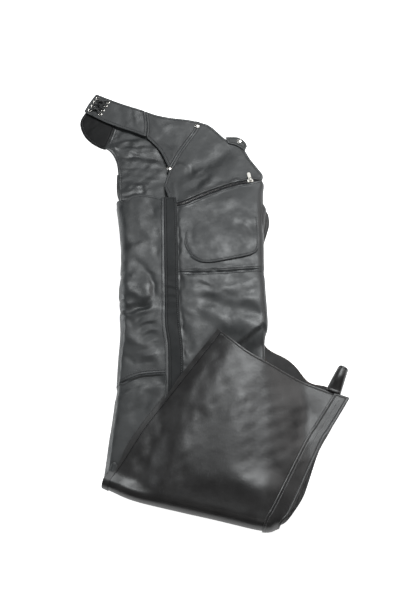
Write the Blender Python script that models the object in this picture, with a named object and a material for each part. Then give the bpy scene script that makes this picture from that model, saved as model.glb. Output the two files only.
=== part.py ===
"""Leather chaps folded in half and dropped flat, with both calves folded back up over the shins.

Sizes in the tables are millimetres on the floor plan: x to the right, y up the garment towards the
waist. The part's origin is the middle of its box, on the floor that it rests on.
"""
import math
from collections import namedtuple

import bmesh
import bpy
from mathutils import Matrix, Vector

MM = 0.001

# driving sizes
LEATHER = 2.0 * MM
BAND = 3.0 * MM
SEAM = 0.3 * MM
ROLL_LIMIT = 13.0 * MM
ROLL_SHARE = 0.55
CORE_CLEARANCE = 0.6 * MM
CORE_SPREAD = 3.2
CORE_SINK = 2.0
CORE_DEEPEST = -7.0 * MM
CORE_SIDE_INSET = 1.5 * MM
CORE_MOUTH_INSET = 6.0 * MM
CORE_LOWER_LAYER = 5.0 * MM
CORE_THICK_FROM = 20 * MM
CORE_THINNEST = 1.2 * MM
WAIST_EDGE_SHARE = 0.6
PLACKET_LIFT = LEATHER + SEAM
CALF_REST = 5.2 * MM
CALF_LAYERS = 7.0 * MM
CALF_ON_FLOOR = 9.0 * MM
CALF_EDGE_LAYERS = 1.5 * MM
CALF_HEM_CLEAR = 2.8 * MM
CALF_CORE_LEFT = 0.012
CALF_CORE_LEFT_AT_FOLD = 0.057
CALF_CORE_RIGHT = 0.992
CALF_CORE_TOP = 0.012
CALF_THIN_EDGE = 4.5 * MM
POUCH_PUFF = 5.0 * MM
PIPING = 5.0 * MM
PIPING_RISE = 2.4 * MM
BINDING_THICKNESS = 1.2 * MM
EYELET_OUTER = 4.2 * MM
EYELET_INNER = 2.1 * MM
EYELET_HEIGHT = 1.6 * MM
SNAP_RADIUS = 4.9 * MM
SNAP_HEIGHT = 2.6 * MM
LACE_RADIUS = 1.3 * MM
LACE_OVER_RISE = 3.0 * MM
LACE_UNDER_RISE = -1.2 * MM
LACE_HUMP = [(0.0, 0.0), (0.18, 0.1), (0.34, 0.75), (0.5, 1.0), (0.66, 0.75), (0.82, 0.1)]
ZIP_HALF_SLOT = 4.0 * MM
ZIP_TAPE_THICKNESS = 1.2 * MM
ZIP_TAPE_GAP = 0.5 * MM
SLIDER_ACROSS = 95 * MM
SLIDER_LENGTH = 11.0 * MM
SLIDER_WIDTH = 7.0 * MM
SLIDER_TOP = 3.9 * MM
ARCH_HALF = 3.3 * MM
ARCH_WIRE = 1.4 * MM
ARCH_TUNNEL = 2.7 * MM
ARCH_FOOT = 1.0 * MM
ARCH_CORNER = 0.8 * MM
TAB_THICK = 1.2 * MM
TAB_HALF = 2.8 * MM
TAB_WINDOW_HALF = 1.5 * MM
TAB_WINDOW_END = 6.4 * MM
TAB_LENGTH = 21.0 * MM
TAB_OUTLINE = [(0.55, 1.12), (0.86, 1.12), (0.96, 0.86), (1.0, 0.45)]
TAB_PIVOT_RISE = 1.3 * MM
TAB_REST_TILT = math.radians(5)

# angles at which leather is sampled as it rolls round a folded side
ROLL_ANGLES = [math.radians(a) for a in (20, 42, 64, 88, 112)]
FOLD_ANGLES = [math.radians(a) for a in (18, 38, 60, 84, 108, 132)]

# the leg pile: its two folded sides and the height under its outer and inner leather
Section = namedtuple("Section", "along left right outer under")
LEG = [
    Section(470, -330, 190, 5.5, 0.0),
    Section(380, -300, 180, 5.5, 0.0),
    Section(340, -250, 172, 7.5, 0.4),
    Section(300, -172, 142, 11, 2.5),
    Section(250, -164, 121, 17, 6.5),
    Section(206, -160, 118, 24, 12),
    Section(160, -151, 116.5, 29, 18),
    Section(106, -145, 115.5, 32, 20),
    Section(60, -142, 114.5, 33, 20),
    Section(17, -143, 115.5, 33, 20),
    Section(-50, -140, 118, 32, 20),
    Section(-120, -142, 118.5, 30, 20),
    Section(-200, -145, 119, 28, 20),
    Section(-315, -156, 118, 26, 20),
    Section(-440, -166, 116, 24, 20),
]

# cuts through the hidden layers, from waist to bottom fold, which runs aslant
Cut = namedtuple("Cut", "left_along right_along peek")
CORE_CUTS = [
    Cut(272, 240, 0),
    Cut(244, 228, 0),
    Cut(212, 212, 0),
    Cut(190, 190, 0),
    Cut(172, 172, 13),
    Cut(140, 142, 9),
    Cut(106, 108, 1),
    Cut(62, 62, 0),
    Cut(17, 20, 0),
    Cut(-40, -48, 0),
    Cut(-95, -115, 0),
    Cut(-150, -180, 0),
    Cut(-205, -245, 0),
    Cut(-262, -318, 0),
    Cut(-316, -384, 0),
]
CORE_MOUTH_TOP = 190 * MM
CORE_MOUTH_FULL = 172 * MM
CORE_MOUTH_RIGHT = -52 * MM
CORE_MOUTH_STEP = 14 * MM
CORE_TOP_ACROSS = [-116, -96, -76, -52, -37, -14, 10, 34, 58, 82]

# large folds: the line of each crest or trough, its half width and its rise
Fold = namedtuple("Fold", "x1 y1 x2 y2 width rise")
LEG_FOLDS = [
    Fold(-132, 22, -98, 16, 19, 5.0),
    Fold(-150, 44, -100, 36, 8, -3.2),
    Fold(-145, -8, -96, -16, 8, -3.4),
    Fold(-128, -30, -90, -42, 11, 2.4),
    Fold(-110, -100, -78, -128, 10, 2.2),
    Fold(-92, -84, -76, -108, 7, -1.6),
    Fold(-30, 204, 26, 262, 12, 2.4),
    Fold(-8, 262, 44, 318, 14, -1.8),
    Fold(-20, 6, 96, -14, 11, 2.4),
    Fold(8, -16, 108, -52, 12, -2.2),
    Fold(24, -34, 110, -74, 10, 2.0),
    Fold(-130, 150, -84, 120, 16, 1.6),
]
UNDER_FOLDS = [
    Fold(-186, 331, -84, 336, 8, 4.5),
    Fold(-150, 308, -84, 300, 7, 3.2),
    Fold(-150, 283, -74, 270, 9, 2.6),
    Fold(-152, 214, -112, 226, 8, 3.4),
    Fold(-150, 250, -78, 240, 8, 2.4),
]
CALF_FOLDS = [
    Fold(34, -122, -10, -206, 17, -2.6),
    Fold(-24, -232, -58, -322, 18, -3.0),
    Fold(84, -170, 40, -300, 30, 2.4),
    Fold(176, -230, 120, -330, 22, -1.6),
    Fold(0, -340, 96, -372, 16, 1.8),
]

# outlines of the cut pieces on the plan
BAND_TOP = [(-209, 465), (-160, 442), (-110, 423)]
YOKE_TOP = [(-110, 423), (-88, 413), (-58, 406), (-17, 400), (-2, 394)]
BACK_END = [(-209, 465), (-221, 444), (-231, 421)]
BAND_SEAM = [(-110, 423), (-105, 390), (-106, 358)]
BAND_LOWER = [(-231, 421), (-188, 395), (-158, 381), (-137, 373), (-106, 358)]
YOKE_LOWER = [(-106, 358), (-90, 341), (-75, 319), (-66, 296), (-58, 276)]
YOKE_SEAM = [(-2, 394), (-6, 380), (-38, 323), (-52, 290), (-58, 276)]
FRONT_TOP = [(-2, 394), (15, 389), (33, 372), (45, 357), (60, 345), (76, 337)]
FRONT_EDGE = [(76, 337), (88, 322), (96, 303), (112, 276), (120, 262), (119, 250)]
SEAT_SIDE = [(-58, 276), (-67, 244), (-68, 222), (-57, 208), (-57, 192)]
ZIP_LINE = [(-57, 188), (-33, 189), (9, 212), (45, 230), (76, 241), (105, 246), (119, 246)]
KNEE_SEAM = [(-50, 39), (-37, 39), (24, 39), (102, 45)]
BACK_TOP = [(-147, 202), (-123, 210), (-97, 210), (-74, 203), (-60, 197)]
BACK_SIDE = [(-147, 202), (-140, 150), (-132, 106), (-129, 17), (-127, -60), (-129, -174)]
BACK_SEAM = [(-129, -174), (-105, -161), (-62, -157), (-47, -157)]
UNDER_SEAM_LINE = [(-58, 197), (-52, -16), (-46, -114), (-44, -157)]
PLACKET_LEFT = [(-73, 203), (-70, 90), (-67, -16), (-66, -67), (-60, -112), (-58, -214)]
PLACKET_RIGHT = [(-44, 203), (-40, 90), (-37, -16), (-34, -67), (-29, -114), (-28, -180)]
POUCH_TOP = [(-30, 182), (9, 204), (45, 222), (76, 232), (106, 237)]
POUCH_LEFT = [(-30, 182), (-31, 128), (-29, 94), (-16, 68)]
POUCH_RIGHT = [(106, 237), (107, 160), (107, 96), (103, 75)]
POUCH_BOTTOM = [(-16, 68), (8, 56), (56, 64), (103, 75)]
UNDER_BAND_INNER = [(-213, 434), (-198, 414), (-182, 402), (-166, 394)]
UNDER_BAND_OUTER = [(-224, 428), (-238, 403), (-236, 385), (-227, 363), (-213, 347), (-198, 337),
                    (-184, 331)]
UNDER_HIP_LEFT = [(-184, 331), (-176, 327), (-168, 316), (-160, 294), (-156, 262), (-154, 230),
                  (-152, 190)]
UNDER_HIP_RIGHT = [(-166, 394), (-118, 382), (-82, 350), (-58, 318), (-52, 284), (-55, 230),
                   (-54, 190)]
WAIST_CORE_LOW = [(-204, 436), (-192, 419), (-164, 402), (-116, 388), (-78, 355), (-53, 322),
                  (-47, 288), (-49, 263)]
WAIST_CORE_TOP = [(-206, 459), (-160, 438), (-110, 419), (-58, 402), (-4, 390), (32, 367), (74, 331),
                  (94, 298), (112, 268), (115, 246)]
UNDER_HEM_TOP = [(121, -80), (133, -103), (152, -122), (172, -141), (181, -156), (193, -166),
                 (213, -167), (228.2, -176)]
UNDER_HEM_LOW = [(122, -150), (160, -172), (208, -187), (226.5, -192)]
STRAP_TOP = [(50, 356), (60, 356), (74, 356), (86, 347), (92, 334)]
STRAP_LOW = [(54, 341), (62, 338), (72, 334), (80, 328), (87, 321)]

# the calf flap: stitched left edge, raw hem, right edge, and the bottom fold
CALF_LEFT = [(31, -76), (-8, -128), (-59, -196), (-98, -249), (-137, -314), (-152, -338)]
CALF_HEM = [(31, -76), (60, -103), (86, -124), (118, -142), (154, -157), (187, -169), (215, -180),
            (255, -195)]
CALF_RIGHT = [(255, -195), (216, -257), (206, -271), (172, -340), (143, -398), (134, -412)]
CALF_FOLD = [(-152, -338), (-104, -358), (-28, -377), (33, -391), (98, -407), (134, -412)]
FOLD_OUTWARD = Vector((-0.255, -0.967, 0.0)).normalized()
CALF_SLOPE_FROM = 95 * MM
CALF_SLOPE_TO = 188 * MM
CALF_WAVES = [0, 0, 1, 3, 2, 5, 8, 11, 8, 4]
PLACKET_SHARE = 0.895
BINDING_SHARE = 0.035

SNAPS = [(-59, 277), (-6, 385), (77, 345)]
EYELETS_LEFT = [(-205, 452), (-210, 443), (-214, 433), (-219, 423)]
EYELETS_RIGHT = [(-184, 443), (-188, 434), (-193, 424), (-198, 414)]

ROLLED_HEM_START = Vector((228, -180, 0)) * MM
ROLLED_HEM_END = Vector((247, -139, 0)) * MM
ROLLED_HEM_RADII = (15.5 * MM, 11.0 * MM)
ROLLED_HEM_TURN = math.radians(430)
ROLLED_HEM_PITCH = 4.2 * MM

COLOURS = {
    "black_leather": (0.022, 0.021, 0.022, 0.42, 0.0),
    "inner_leather": (0.016, 0.015, 0.016, 0.34, 0.0),
    "raw_edge": (0.045, 0.034, 0.030, 0.80, 0.0),
    "zip_tape": (0.012, 0.012, 0.013, 0.85, 0.0),
    "nickel": (0.60, 0.58, 0.55, 0.26, 1.0),
    "lace_leather": (0.018, 0.017, 0.017, 0.55, 0.0),
}


def smoothstep(value):
    value = min(1.0, max(0.0, value))
    return value * value * (3 - 2 * value)


def curve_through(rows, at):
    """Cubic curve through (place, value) rows, read at one place."""
    for index in range(len(rows) - 1):
        if at <= rows[index + 1][0] or index == len(rows) - 2:
            break
    x0, y0 = rows[index]
    x1, y1 = rows[index + 1]
    before = rows[max(index - 1, 0)]
    after = rows[min(index + 2, len(rows) - 1)]
    t = (at - x0) / (x1 - x0)
    slope0 = (y1 - before[1]) / (x1 - before[0])
    slope1 = (after[1] - y0) / (after[0] - x0)
    width = x1 - x0
    h00 = 2 * t ** 3 - 3 * t ** 2 + 1
    h10 = t ** 3 - 2 * t ** 2 + t
    h01 = 3 * t ** 2 - 2 * t ** 3
    h11 = t ** 3 - t ** 2
    return h00 * y0 + h10 * width * slope0 + h01 * y1 + h11 * width * slope1


def leg_value(column, along):
    rows = sorted((row.along * MM, getattr(row, column) * MM) for row in LEG)
    return curve_through(rows, along)


def relief(folds, x, y, crests=1.0, spread=1.0):
    """Height that the large folds add at a place on the plan."""
    total = 0.0
    for fold in folds:
        start = Vector((fold.x1, fold.y1)) * MM
        line = Vector((fold.x2, fold.y2)) * MM - start
        place = Vector((x, y)) - start
        share = place.dot(line) / line.length_squared
        nearest = min(1.0, max(0.0, share))
        distance = (place - line * nearest).length / (fold.width * spread * MM)
        rise = fold.rise * MM * math.exp(-distance * distance)
        total += rise if rise < 0 else rise * crests
    return total


def roll_radius(along):
    return min(ROLL_LIMIT, ROLL_SHARE * leg_value("outer", along))


def leg_point(across, along, crests=1.0):
    """Underside of the outer leather, which rolls round both sides of the leg."""
    radius = roll_radius(along)
    left = leg_value("left", along) + radius
    right = leg_value("right", along) - radius
    x = across
    drop = 0.0
    if across < left:
        angle = (left - across) / radius
        x = left - radius * math.sin(angle)
        drop = radius * (1 - math.cos(angle))
    elif across > right:
        angle = (across - right) / radius
        x = right + radius * math.sin(angle)
        drop = radius * (1 - math.cos(angle))
    folds = relief(LEG_FOLDS, x, along, crests) * max(0.0, 1 - drop / radius)
    return Vector((x, along, leg_value("outer", along) + folds - drop))


def under_point(x, y):
    """Underside of the under half, whose inner face shows in the seat opening."""
    return Vector((x, y, max(0.0, leg_value("under", y)) + relief(UNDER_FOLDS, x, y)))


def floor_point(x, y):
    return Vector((x, y, 0.0))


def along_curve(points, steps):
    """Evenly spaced points on a smooth curve through the given ones, in metres."""
    points = [Vector((x, y)) * MM for x, y in points]
    fine = []
    for index in range(len(points) - 1):
        p0 = points[max(index - 1, 0)]
        p1 = points[index]
        p2 = points[index + 1]
        p3 = points[min(index + 2, len(points) - 1)]
        for step in range(12):
            t = step / 12
            fine.append(0.5 * (2 * p1 + (p2 - p0) * t + (2 * p0 - 5 * p1 + 4 * p2 - p3) * t * t
                               + (3 * p1 - p0 - 3 * p2 + p3) * t ** 3))
    fine.append(points[-1])
    lengths = [0.0]
    for first, second in zip(fine, fine[1:]):
        lengths.append(lengths[-1] + (second - first).length)
    result = []
    index = 0
    for step in range(steps + 1):
        target = lengths[-1] * step / steps
        while index < len(fine) - 2 and lengths[index + 1] < target:
            index += 1
        span = lengths[index + 1] - lengths[index]
        result.append(fine[index].lerp(fine[index + 1], (target - lengths[index]) / span))
    return result


def patch(left, right, top=None, bottom=None):
    """Grid of plan points between four edges: left and right run down, top and bottom run across."""
    rows = len(left) - 1
    if top is None:
        columns = len(bottom) - 1
        top = [left[0].lerp(right[0], c / columns) for c in range(columns + 1)]
    columns = len(top) - 1
    if bottom is None:
        bottom = [left[-1].lerp(right[-1], c / columns) for c in range(columns + 1)]
    grid = []
    for r in range(rows + 1):
        v = r / rows
        line = []
        for c in range(columns + 1):
            u = c / columns
            sides = left[r].lerp(right[r], u)
            ends = top[c].lerp(bottom[c], v)
            corners = left[0].lerp(right[0], u).lerp(left[-1].lerp(right[-1], u), v)
            line.append(sides + ends - corners)
        grid.append(line)
    return grid


def straight_top(left, right, columns):
    return [left[0].lerp(right[0], c / columns) for c in range(columns + 1)]


def with_rolled_side(grid, side):
    """Adds the columns that go round the folded side of the leg."""
    result = []
    for line in grid:
        edge = line[0] if side == "left" else line[-1]
        radius = roll_radius(edge.y)
        if side == "left":
            edge = Vector((leg_value("left", edge.y) + radius, edge.y))
            extra = [Vector((edge.x - radius * angle, edge.y)) for angle in reversed(ROLL_ANGLES)]
            result.append(extra + [edge] + line[1:])
        else:
            edge = Vector((leg_value("right", edge.y) - radius, edge.y))
            extra = [Vector((edge.x + radius * angle, edge.y)) for angle in ROLL_ANGLES]
            result.append(line[:-1] + [edge] + extra)
    return result


def surface_normal(surface, a, b, step=0.4 * MM):
    across = surface(a + step, b) - surface(a - step, b)
    along = surface(a, b + step) - surface(a, b - step)
    return across.cross(along).normalized()


def material(name):
    found = bpy.data.materials.get(name)
    if found:
        return found
    red, green, blue, roughness, metallic = COLOURS[name]
    made = bpy.data.materials.new(name)
    made.use_nodes = True
    shader = made.node_tree.nodes["Principled BSDF"]
    shader.inputs["Base Color"].default_value = (red, green, blue, 1)
    shader.inputs["Roughness"].default_value = roughness
    shader.inputs["Metallic"].default_value = metallic
    return made


def finish(name, bm, material_name, smooth=True):
    bmesh.ops.recalc_face_normals(bm, faces=bm.faces[:])
    if bm.calc_volume(signed=True) < 0:
        bmesh.ops.reverse_faces(bm, faces=bm.faces[:])
    mesh = bpy.data.meshes.new(name)
    bm.to_mesh(mesh)
    bm.free()
    if smooth:
        mesh.shade_smooth()
        mesh.set_sharp_from_angle(angle=math.radians(40))
    piece = bpy.data.objects.new(name, mesh)
    piece.data.materials.append(material(material_name))
    bpy.context.collection.objects.link(piece)
    piece.parent = chaps
    return piece


def wall_from_points(name, low, high, material_name):
    """Closed wall between two grids of points: a grid, extruded, with both faces put in place."""
    rows = len(low) - 1
    columns = len(low[0]) - 1
    bm = bmesh.new()
    bmesh.ops.create_grid(bm, x_segments=columns, y_segments=rows, size=1.0)

    def cell(vert):
        return round((vert.co.y + 1) / 2 * rows), round((vert.co.x + 1) / 2 * columns)

    below = {vert: cell(vert) for vert in bm.verts}
    made = bmesh.ops.extrude_face_region(bm, geom=bm.faces[:])["geom"]
    above = {item: cell(item) for item in made if isinstance(item, bmesh.types.BMVert)}
    for vert, (row, column) in below.items():
        vert.co = low[row][column]
    for vert, (row, column) in above.items():
        vert.co = high[row][column]
    return finish(name, bm, material_name)


def inset_edges(points, amount):
    """Draws the border of a grid of points in, which leaves the seam gap between two pieces."""
    points = [list(line) for line in points]
    for line in points:
        line[0] = line[0] + (line[1] - line[0]).normalized() * amount
        line[-1] = line[-1] + (line[-2] - line[-1]).normalized() * amount
    for column in range(len(points[0])):
        first, second = points[0][column], points[1][column]
        points[0][column] = first + (second - first).normalized() * amount
        last, before = points[-1][column], points[-2][column]
        points[-1][column] = last + (before - last).normalized() * amount
    return points


def sheet(name, grid, surface, material_name="black_leather", lift=0.0, thickness=LEATHER, puff=None):
    """Leather wall laid on a surface, from a grid of places on it."""
    places = [[surface(place.x, place.y) for place in line] for line in grid]
    normals = [[surface_normal(surface, place.x, place.y) for place in line] for line in grid]
    places = inset_edges(places, SEAM / 2)
    low = []
    high = []
    for r, line in enumerate(places):
        low_line = []
        high_line = []
        for c, place in enumerate(line):
            raised = lift
            if puff:
                raised += puff(c / (len(line) - 1), r / (len(places) - 1))
            low_line.append(place + normals[r][c] * raised)
            high_line.append(place + normals[r][c] * (raised + thickness))
        low.append(low_line)
        high.append(high_line)
    return wall_from_points(name, low, high, material_name)


def loft(name, rings, material_name):
    """Closed body through rings with the same number of points."""
    bm = bmesh.new()
    loops = [[bm.verts.new(place) for place in ring] for ring in rings]
    count = len(rings[0])
    for first, second in zip(loops, loops[1:]):
        for index in range(count):
            after = (index + 1) % count
            bm.faces.new((first[index], first[after], second[after], second[index]))
    bm.faces.new(loops[0][::-1])
    bm.faces.new(loops[-1])
    bmesh.ops.triangulate(bm, faces=[face for face in bm.faces if len(face.verts) > 4])
    return finish(name, bm, material_name)


def offset_curve(points, amount):
    """The same curve, moved sideways on the plan."""
    result = []
    for index, place in enumerate(points):
        before = points[max(index - 1, 0)]
        after = points[min(index + 1, len(points) - 1)]
        direction = (after - before).normalized()
        result.append(place + Vector((-direction.y, direction.x)) * amount)
    return result


def core_top(x, along):
    """Top of the hidden layers: under the outer leather, and low in the seat opening on the left."""
    full = leg_value("outer", along) - CORE_CLEARANCE
    low = leg_value("under", along) - SEAM
    share = smoothstep((along - CORE_MOUTH_FULL) / (CORE_MOUTH_TOP - CORE_MOUTH_FULL))
    share *= 1 - smoothstep((x - CORE_MOUTH_RIGHT) / CORE_MOUTH_STEP)
    return full * (1 - share) + max(low, CORE_THINNEST) * share


def core_sink(x, y):
    """Room that the hidden layers leave for the troughs in the leather above them."""
    in_opening = core_top(x, y) < leg_value("outer", y) - 2 * CORE_CLEARANCE
    if in_opening:
        return 0.0
    return max(CORE_DEEPEST, CORE_SINK * relief(LEG_FOLDS, x, y, crests=0.0, spread=CORE_SPREAD))


def core_arc(side, along, edge, radius):
    """Points round one side of the hidden layers, from the top of the roll downwards."""
    height = core_top(edge, along)
    turn = -1 if side == "left" else 1
    inner = radius - CORE_CLEARANCE if height > CORE_THICK_FROM else radius * 0.9
    sink = core_sink(edge, along)
    arc = []
    for angle in ROLL_ANGLES:
        drop = inner * (1 - math.cos(angle))
        sunk = sink * max(0.0, math.cos(angle)) ** 2
        arc.append(Vector((edge + turn * inner * math.sin(angle), 0, height - drop + sunk)))
    low = max(arc[-1].z - 2 * MM, CORE_THINNEST / 2)
    tuck = edge + turn * radius * 0.45
    return arc + [Vector((tuck, 0, low))], low


def core_lower_layers(side, along, low, peek):
    """The pile's lowest layer, whose rounded edge shows under the roll."""
    turn = -1 if side == "left" else 1
    inset = CORE_SIDE_INSET if along < CORE_MOUTH_TOP else CORE_MOUTH_INSET
    outer = leg_value(side, along) - turn * inset
    if side == "right":
        outer += peek
    layer = min(low, CORE_LOWER_LAYER)
    return [
        Vector((outer - turn * 2.4 * MM, 0, layer * 0.95)),
        Vector((outer, 0, layer * 0.55)),
        Vector((outer - turn * 1.2 * MM, 0, 0)),
    ]


def core_side(side, along, peek):
    """One side of the hidden layers, from where the flat top ends down to the floor."""
    turn = -1 if side == "left" else 1
    outer = leg_value(side, along)
    radius = min(roll_radius(along), ROLL_SHARE * core_top(outer, along))
    drawn_in = CORE_MOUTH_INSET / 2 if along >= CORE_MOUTH_TOP else 0.0
    edge = outer - turn * (radius + drawn_in)
    arc, low = core_arc(side, along, edge, radius)
    start = Vector((edge, 0, core_top(edge, along) + core_sink(edge, along)))
    return [start] + arc + core_lower_layers(side, along, low, peek)


def make_hidden_layers():
    rings = []
    for cut in CORE_CUTS:
        left_y = cut.left_along * MM
        right_y = cut.right_along * MM
        left_side = core_side("left", left_y, cut.peek * MM)
        right_side = core_side("right", right_y, cut.peek * MM)
        left_x = leg_value("left", left_y)
        slope = (right_y - left_y) / (leg_value("right", right_y) - left_x)
        top = []
        for across in CORE_TOP_ACROSS:
            x = across * MM
            y = left_y + slope * (x - left_x)
            top.append(Vector((x, 0, core_top(x, y) + core_sink(x, y))))
        ring = left_side[::-1] + top + right_side
        for place in ring:
            place.y = left_y + slope * (place.x - left_x)
        rings.append(ring)
    loft("hidden_layers", rings, "inner_leather")


def make_hidden_waist():
    """The other half's hip and front under the waist, from the band's end to the hidden layers."""
    rows = 4
    columns = 18
    plan = patch(straight_line(WAIST_CORE_TOP[0], WAIST_CORE_LOW[0], rows),
                 straight_line(WAIST_CORE_TOP[-1], WAIST_CORE_LOW[-1], rows),
                 along_curve(WAIST_CORE_TOP, columns), along_curve(WAIST_CORE_LOW, columns))
    low = [[place.to_3d() for place in line] for line in plan]
    high = []
    for row, line in enumerate(plan):
        high_line = []
        for place in line:
            sink = CORE_SINK * relief(LEG_FOLDS, place.x, place.y, crests=0.0, spread=CORE_SPREAD)
            top = leg_value("outer", place.y) - CORE_CLEARANCE + max(CORE_DEEPEST, sink)
            if row == 0:
                top *= WAIST_EDGE_SHARE
            high_line.append(Vector((place.x, place.y, top)))
        high.append(high_line)
    wall_from_points("hidden_waist_layers", low, high, "inner_leather")


def leg_height_under_calf(x, y):
    """Height of what the calf flap lies on: the leg, then a slope down to the floor beside it."""
    down = smoothstep((x - CALF_SLOPE_FROM) / (CALF_SLOPE_TO - CALF_SLOPE_FROM))
    return (leg_value("outer", y) + CALF_REST) * (1 - down), down


def calf_height(x, y, across):
    """Underside of the flap's outer leather."""
    rest, down = leg_height_under_calf(x, y)
    layers = CALF_EDGE_LAYERS + (CALF_LAYERS - CALF_EDGE_LAYERS) * smoothstep(across / 0.16)
    return rest + layers * (1 - down) + CALF_ON_FLOOR * down


CALF_ROWS = 18
CALF_COLUMNS = 20
CALF_EDGES = {
    "left": along_curve(CALF_LEFT, CALF_ROWS),
    "right": along_curve(CALF_RIGHT, CALF_ROWS),
    "top": along_curve(CALF_HEM, CALF_COLUMNS),
    "bottom": along_curve(CALF_FOLD, CALF_COLUMNS),
}


def read_curve(points, share):
    position = min(max(share, 0.0), 1.0) * (len(points) - 1)
    index = min(int(position), len(points) - 2)
    inside = points[index].lerp(points[index + 1], position - index)
    past = share - min(max(share, 0.0), 1.0)
    end = points[1] - points[0] if share < 0 else points[-1] - points[-2]
    return inside + end * past * (len(points) - 1)


def calf_plan(across, down):
    left = read_curve(CALF_EDGES["left"], down)
    right = read_curve(CALF_EDGES["right"], down)
    top = read_curve(CALF_EDGES["top"], across)
    bottom = read_curve(CALF_EDGES["bottom"], across)
    corner_top = CALF_EDGES["left"][0].lerp(CALF_EDGES["right"][0], across)
    corner_bottom = CALF_EDGES["left"][-1].lerp(CALF_EDGES["right"][-1], across)
    return left.lerp(right, across) + top.lerp(bottom, down) - corner_top.lerp(corner_bottom, down)


def calf_point(across, down, core=False):
    """Underside of the flap's leather; past 1, down is the angle round the bottom fold."""
    flat = min(down, 1.0)
    plan = calf_plan(across, flat)
    height = calf_height(plan.x, plan.y, across)
    if down <= 1.0:
        fade = smoothstep((1.0 - down) / 0.12)
        folds = relief(CALF_FOLDS, plan.x, plan.y, 0.0 if core else 1.0, 1.6 if core else 1.0)
        return Vector((plan.x, plan.y, height + folds * (CORE_SINK if core else fade)))
    radius = calf_fold_radius(height)
    angle = down - 1.0
    place = Vector((plan.x, plan.y, height - radius)) + FOLD_OUTWARD * radius * math.sin(angle)
    place.z += radius * math.cos(angle)
    return place


def calf_fold_radius(height):
    return (height - LEATHER - PLACKET_LIFT - 0.4 * MM) / 2


def calf_grid(first, last, columns):
    downs = [row / CALF_ROWS for row in range(CALF_ROWS + 1)] + [1.0 + angle for angle in FOLD_ANGLES]
    acrosses = [first + (last - first) * column / columns for column in range(columns + 1)]
    return [[Vector((across, down)) for across in acrosses] for down in downs]


def calf_normal(across, down):
    step = 0.003
    sideways = calf_point(across + step, down) - calf_point(across - step, down)
    if 1.0 - step < down < 1.0 + step:
        downwards = calf_point(across, 1.0 + 2 * step) - calf_point(across, 1.0 - step)
    else:
        downwards = calf_point(across, down + step) - calf_point(across, down - step)
    return downwards.cross(sideways).normalized()


def calf_sheet(name, first, last, columns, lift, thickness, material_name="black_leather"):
    grid = calf_grid(first, last, columns)
    places = inset_edges([[calf_point(g.x, g.y) for g in line] for line in grid], SEAM / 2)
    normals = [[calf_normal(g.x, g.y) for g in line] for line in grid]
    low = []
    high = []
    for line in zip(places, normals):
        low.append([place + normal * lift for place, normal in zip(*line)])
        high.append([place + normal * (lift + thickness) for place, normal in zip(*line)])
    return wall_from_points(name, low, high, material_name)


def calf_core_pair(across, down, at_edge):
    """Lowest and highest point of the flap's hidden layers at one place."""
    place = calf_point(across, min(max(down, CALF_CORE_TOP), 1.0), core=True)
    rest, slope = leg_height_under_calf(place.x, place.y)
    hem_clear = CALF_HEM_CLEAR * (1 - smoothstep((down - 0.1) / 0.12))
    bottom = max(rest, hem_clear if slope > 0.6 else 0.0)
    if slope > 0.97:
        bottom = hem_clear
    if down == 1.0:
        bottom = 0.0
    top = place.z - CORE_CLEARANCE
    if at_edge:
        wave = read_wave(down) * MM
        place += Vector((wave, -0.3 * wave, 0))
        top = min(top, CALF_THIN_EDGE + 0.25 * (rest - bottom))
    return Vector((place.x, place.y, bottom)), Vector((place.x, place.y, max(top, bottom + CORE_THINNEST)))


def calf_core_roll(across, angle):
    """The same pair where the layers turn round the bottom fold."""
    plan = calf_plan(across, 1.0)
    height = calf_height(plan.x, plan.y, across)
    radius = calf_fold_radius(height)
    centre = height - radius
    inner = radius - CORE_CLEARANCE
    out = plan.to_3d() + FOLD_OUTWARD * inner * math.sin(angle)
    rise = inner * math.cos(angle)
    bottom = max(0.0, centre - rise) if angle > FOLD_ANGLES[0] else 0.0
    return Vector((out.x, out.y, bottom)), Vector((out.x, out.y, centre + rise))


def make_folded_calf():
    """The flap's hidden layers: on the leg, down to the floor beside it, and round the fold."""
    rows = 14
    columns = 13
    low = []
    high = []
    for row in range(rows + 1):
        down = row / rows
        drawn_in = smoothstep((down - 0.75) / 0.15)
        first = CALF_CORE_LEFT + (CALF_CORE_LEFT_AT_FOLD - CALF_CORE_LEFT) * drawn_in
        acrosses = [first + (CALF_CORE_RIGHT - first) * column / columns for column in range(columns + 1)]
        pairs = [calf_core_pair(across, down, across == acrosses[-1]) for across in acrosses]
        low.append([pair[0] for pair in pairs])
        high.append([pair[1] for pair in pairs])
    for angle in FOLD_ANGLES[:4]:
        pairs = [calf_core_roll(across, angle) for across in acrosses]
        low.append([pair[0] for pair in pairs])
        high.append([pair[1] for pair in pairs])
    wall_from_points("folded_calf_layers", low, high, "inner_leather")


def read_wave(down):
    position = down * (len(CALF_WAVES) - 1)
    index = min(int(position), len(CALF_WAVES) - 2)
    return CALF_WAVES[index] + (CALF_WAVES[index + 1] - CALF_WAVES[index]) * (position - index)


def make_waist():
    rows = 5
    band = patch(along_curve(BACK_END, rows), along_curve(BAND_SEAM, rows),
                 along_curve(BAND_TOP, 10), along_curve(BAND_LOWER, 10))
    sheet("waistband_back", band, leg_point, thickness=BAND)
    rows = 6
    yoke = patch(along_curve(BAND_SEAM, rows), along_curve(YOKE_SEAM, rows),
                 along_curve(YOKE_TOP, 9), along_curve(YOKE_LOWER, 9))
    sheet("hip_yoke", yoke, leg_point)
    rows = 9
    end = straight_line(UNDER_BAND_INNER[0], UNDER_BAND_OUTER[0], 3)
    under = patch(along_curve(UNDER_BAND_INNER, rows), along_curve(UNDER_BAND_OUTER, rows), end)
    sheet("under_waistband", under, floor_point, "inner_leather", thickness=BAND)


def straight_line(first, last, steps):
    first = Vector(first) * MM
    last = Vector(last) * MM
    return [first.lerp(last, step / steps) for step in range(steps + 1)]


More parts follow.
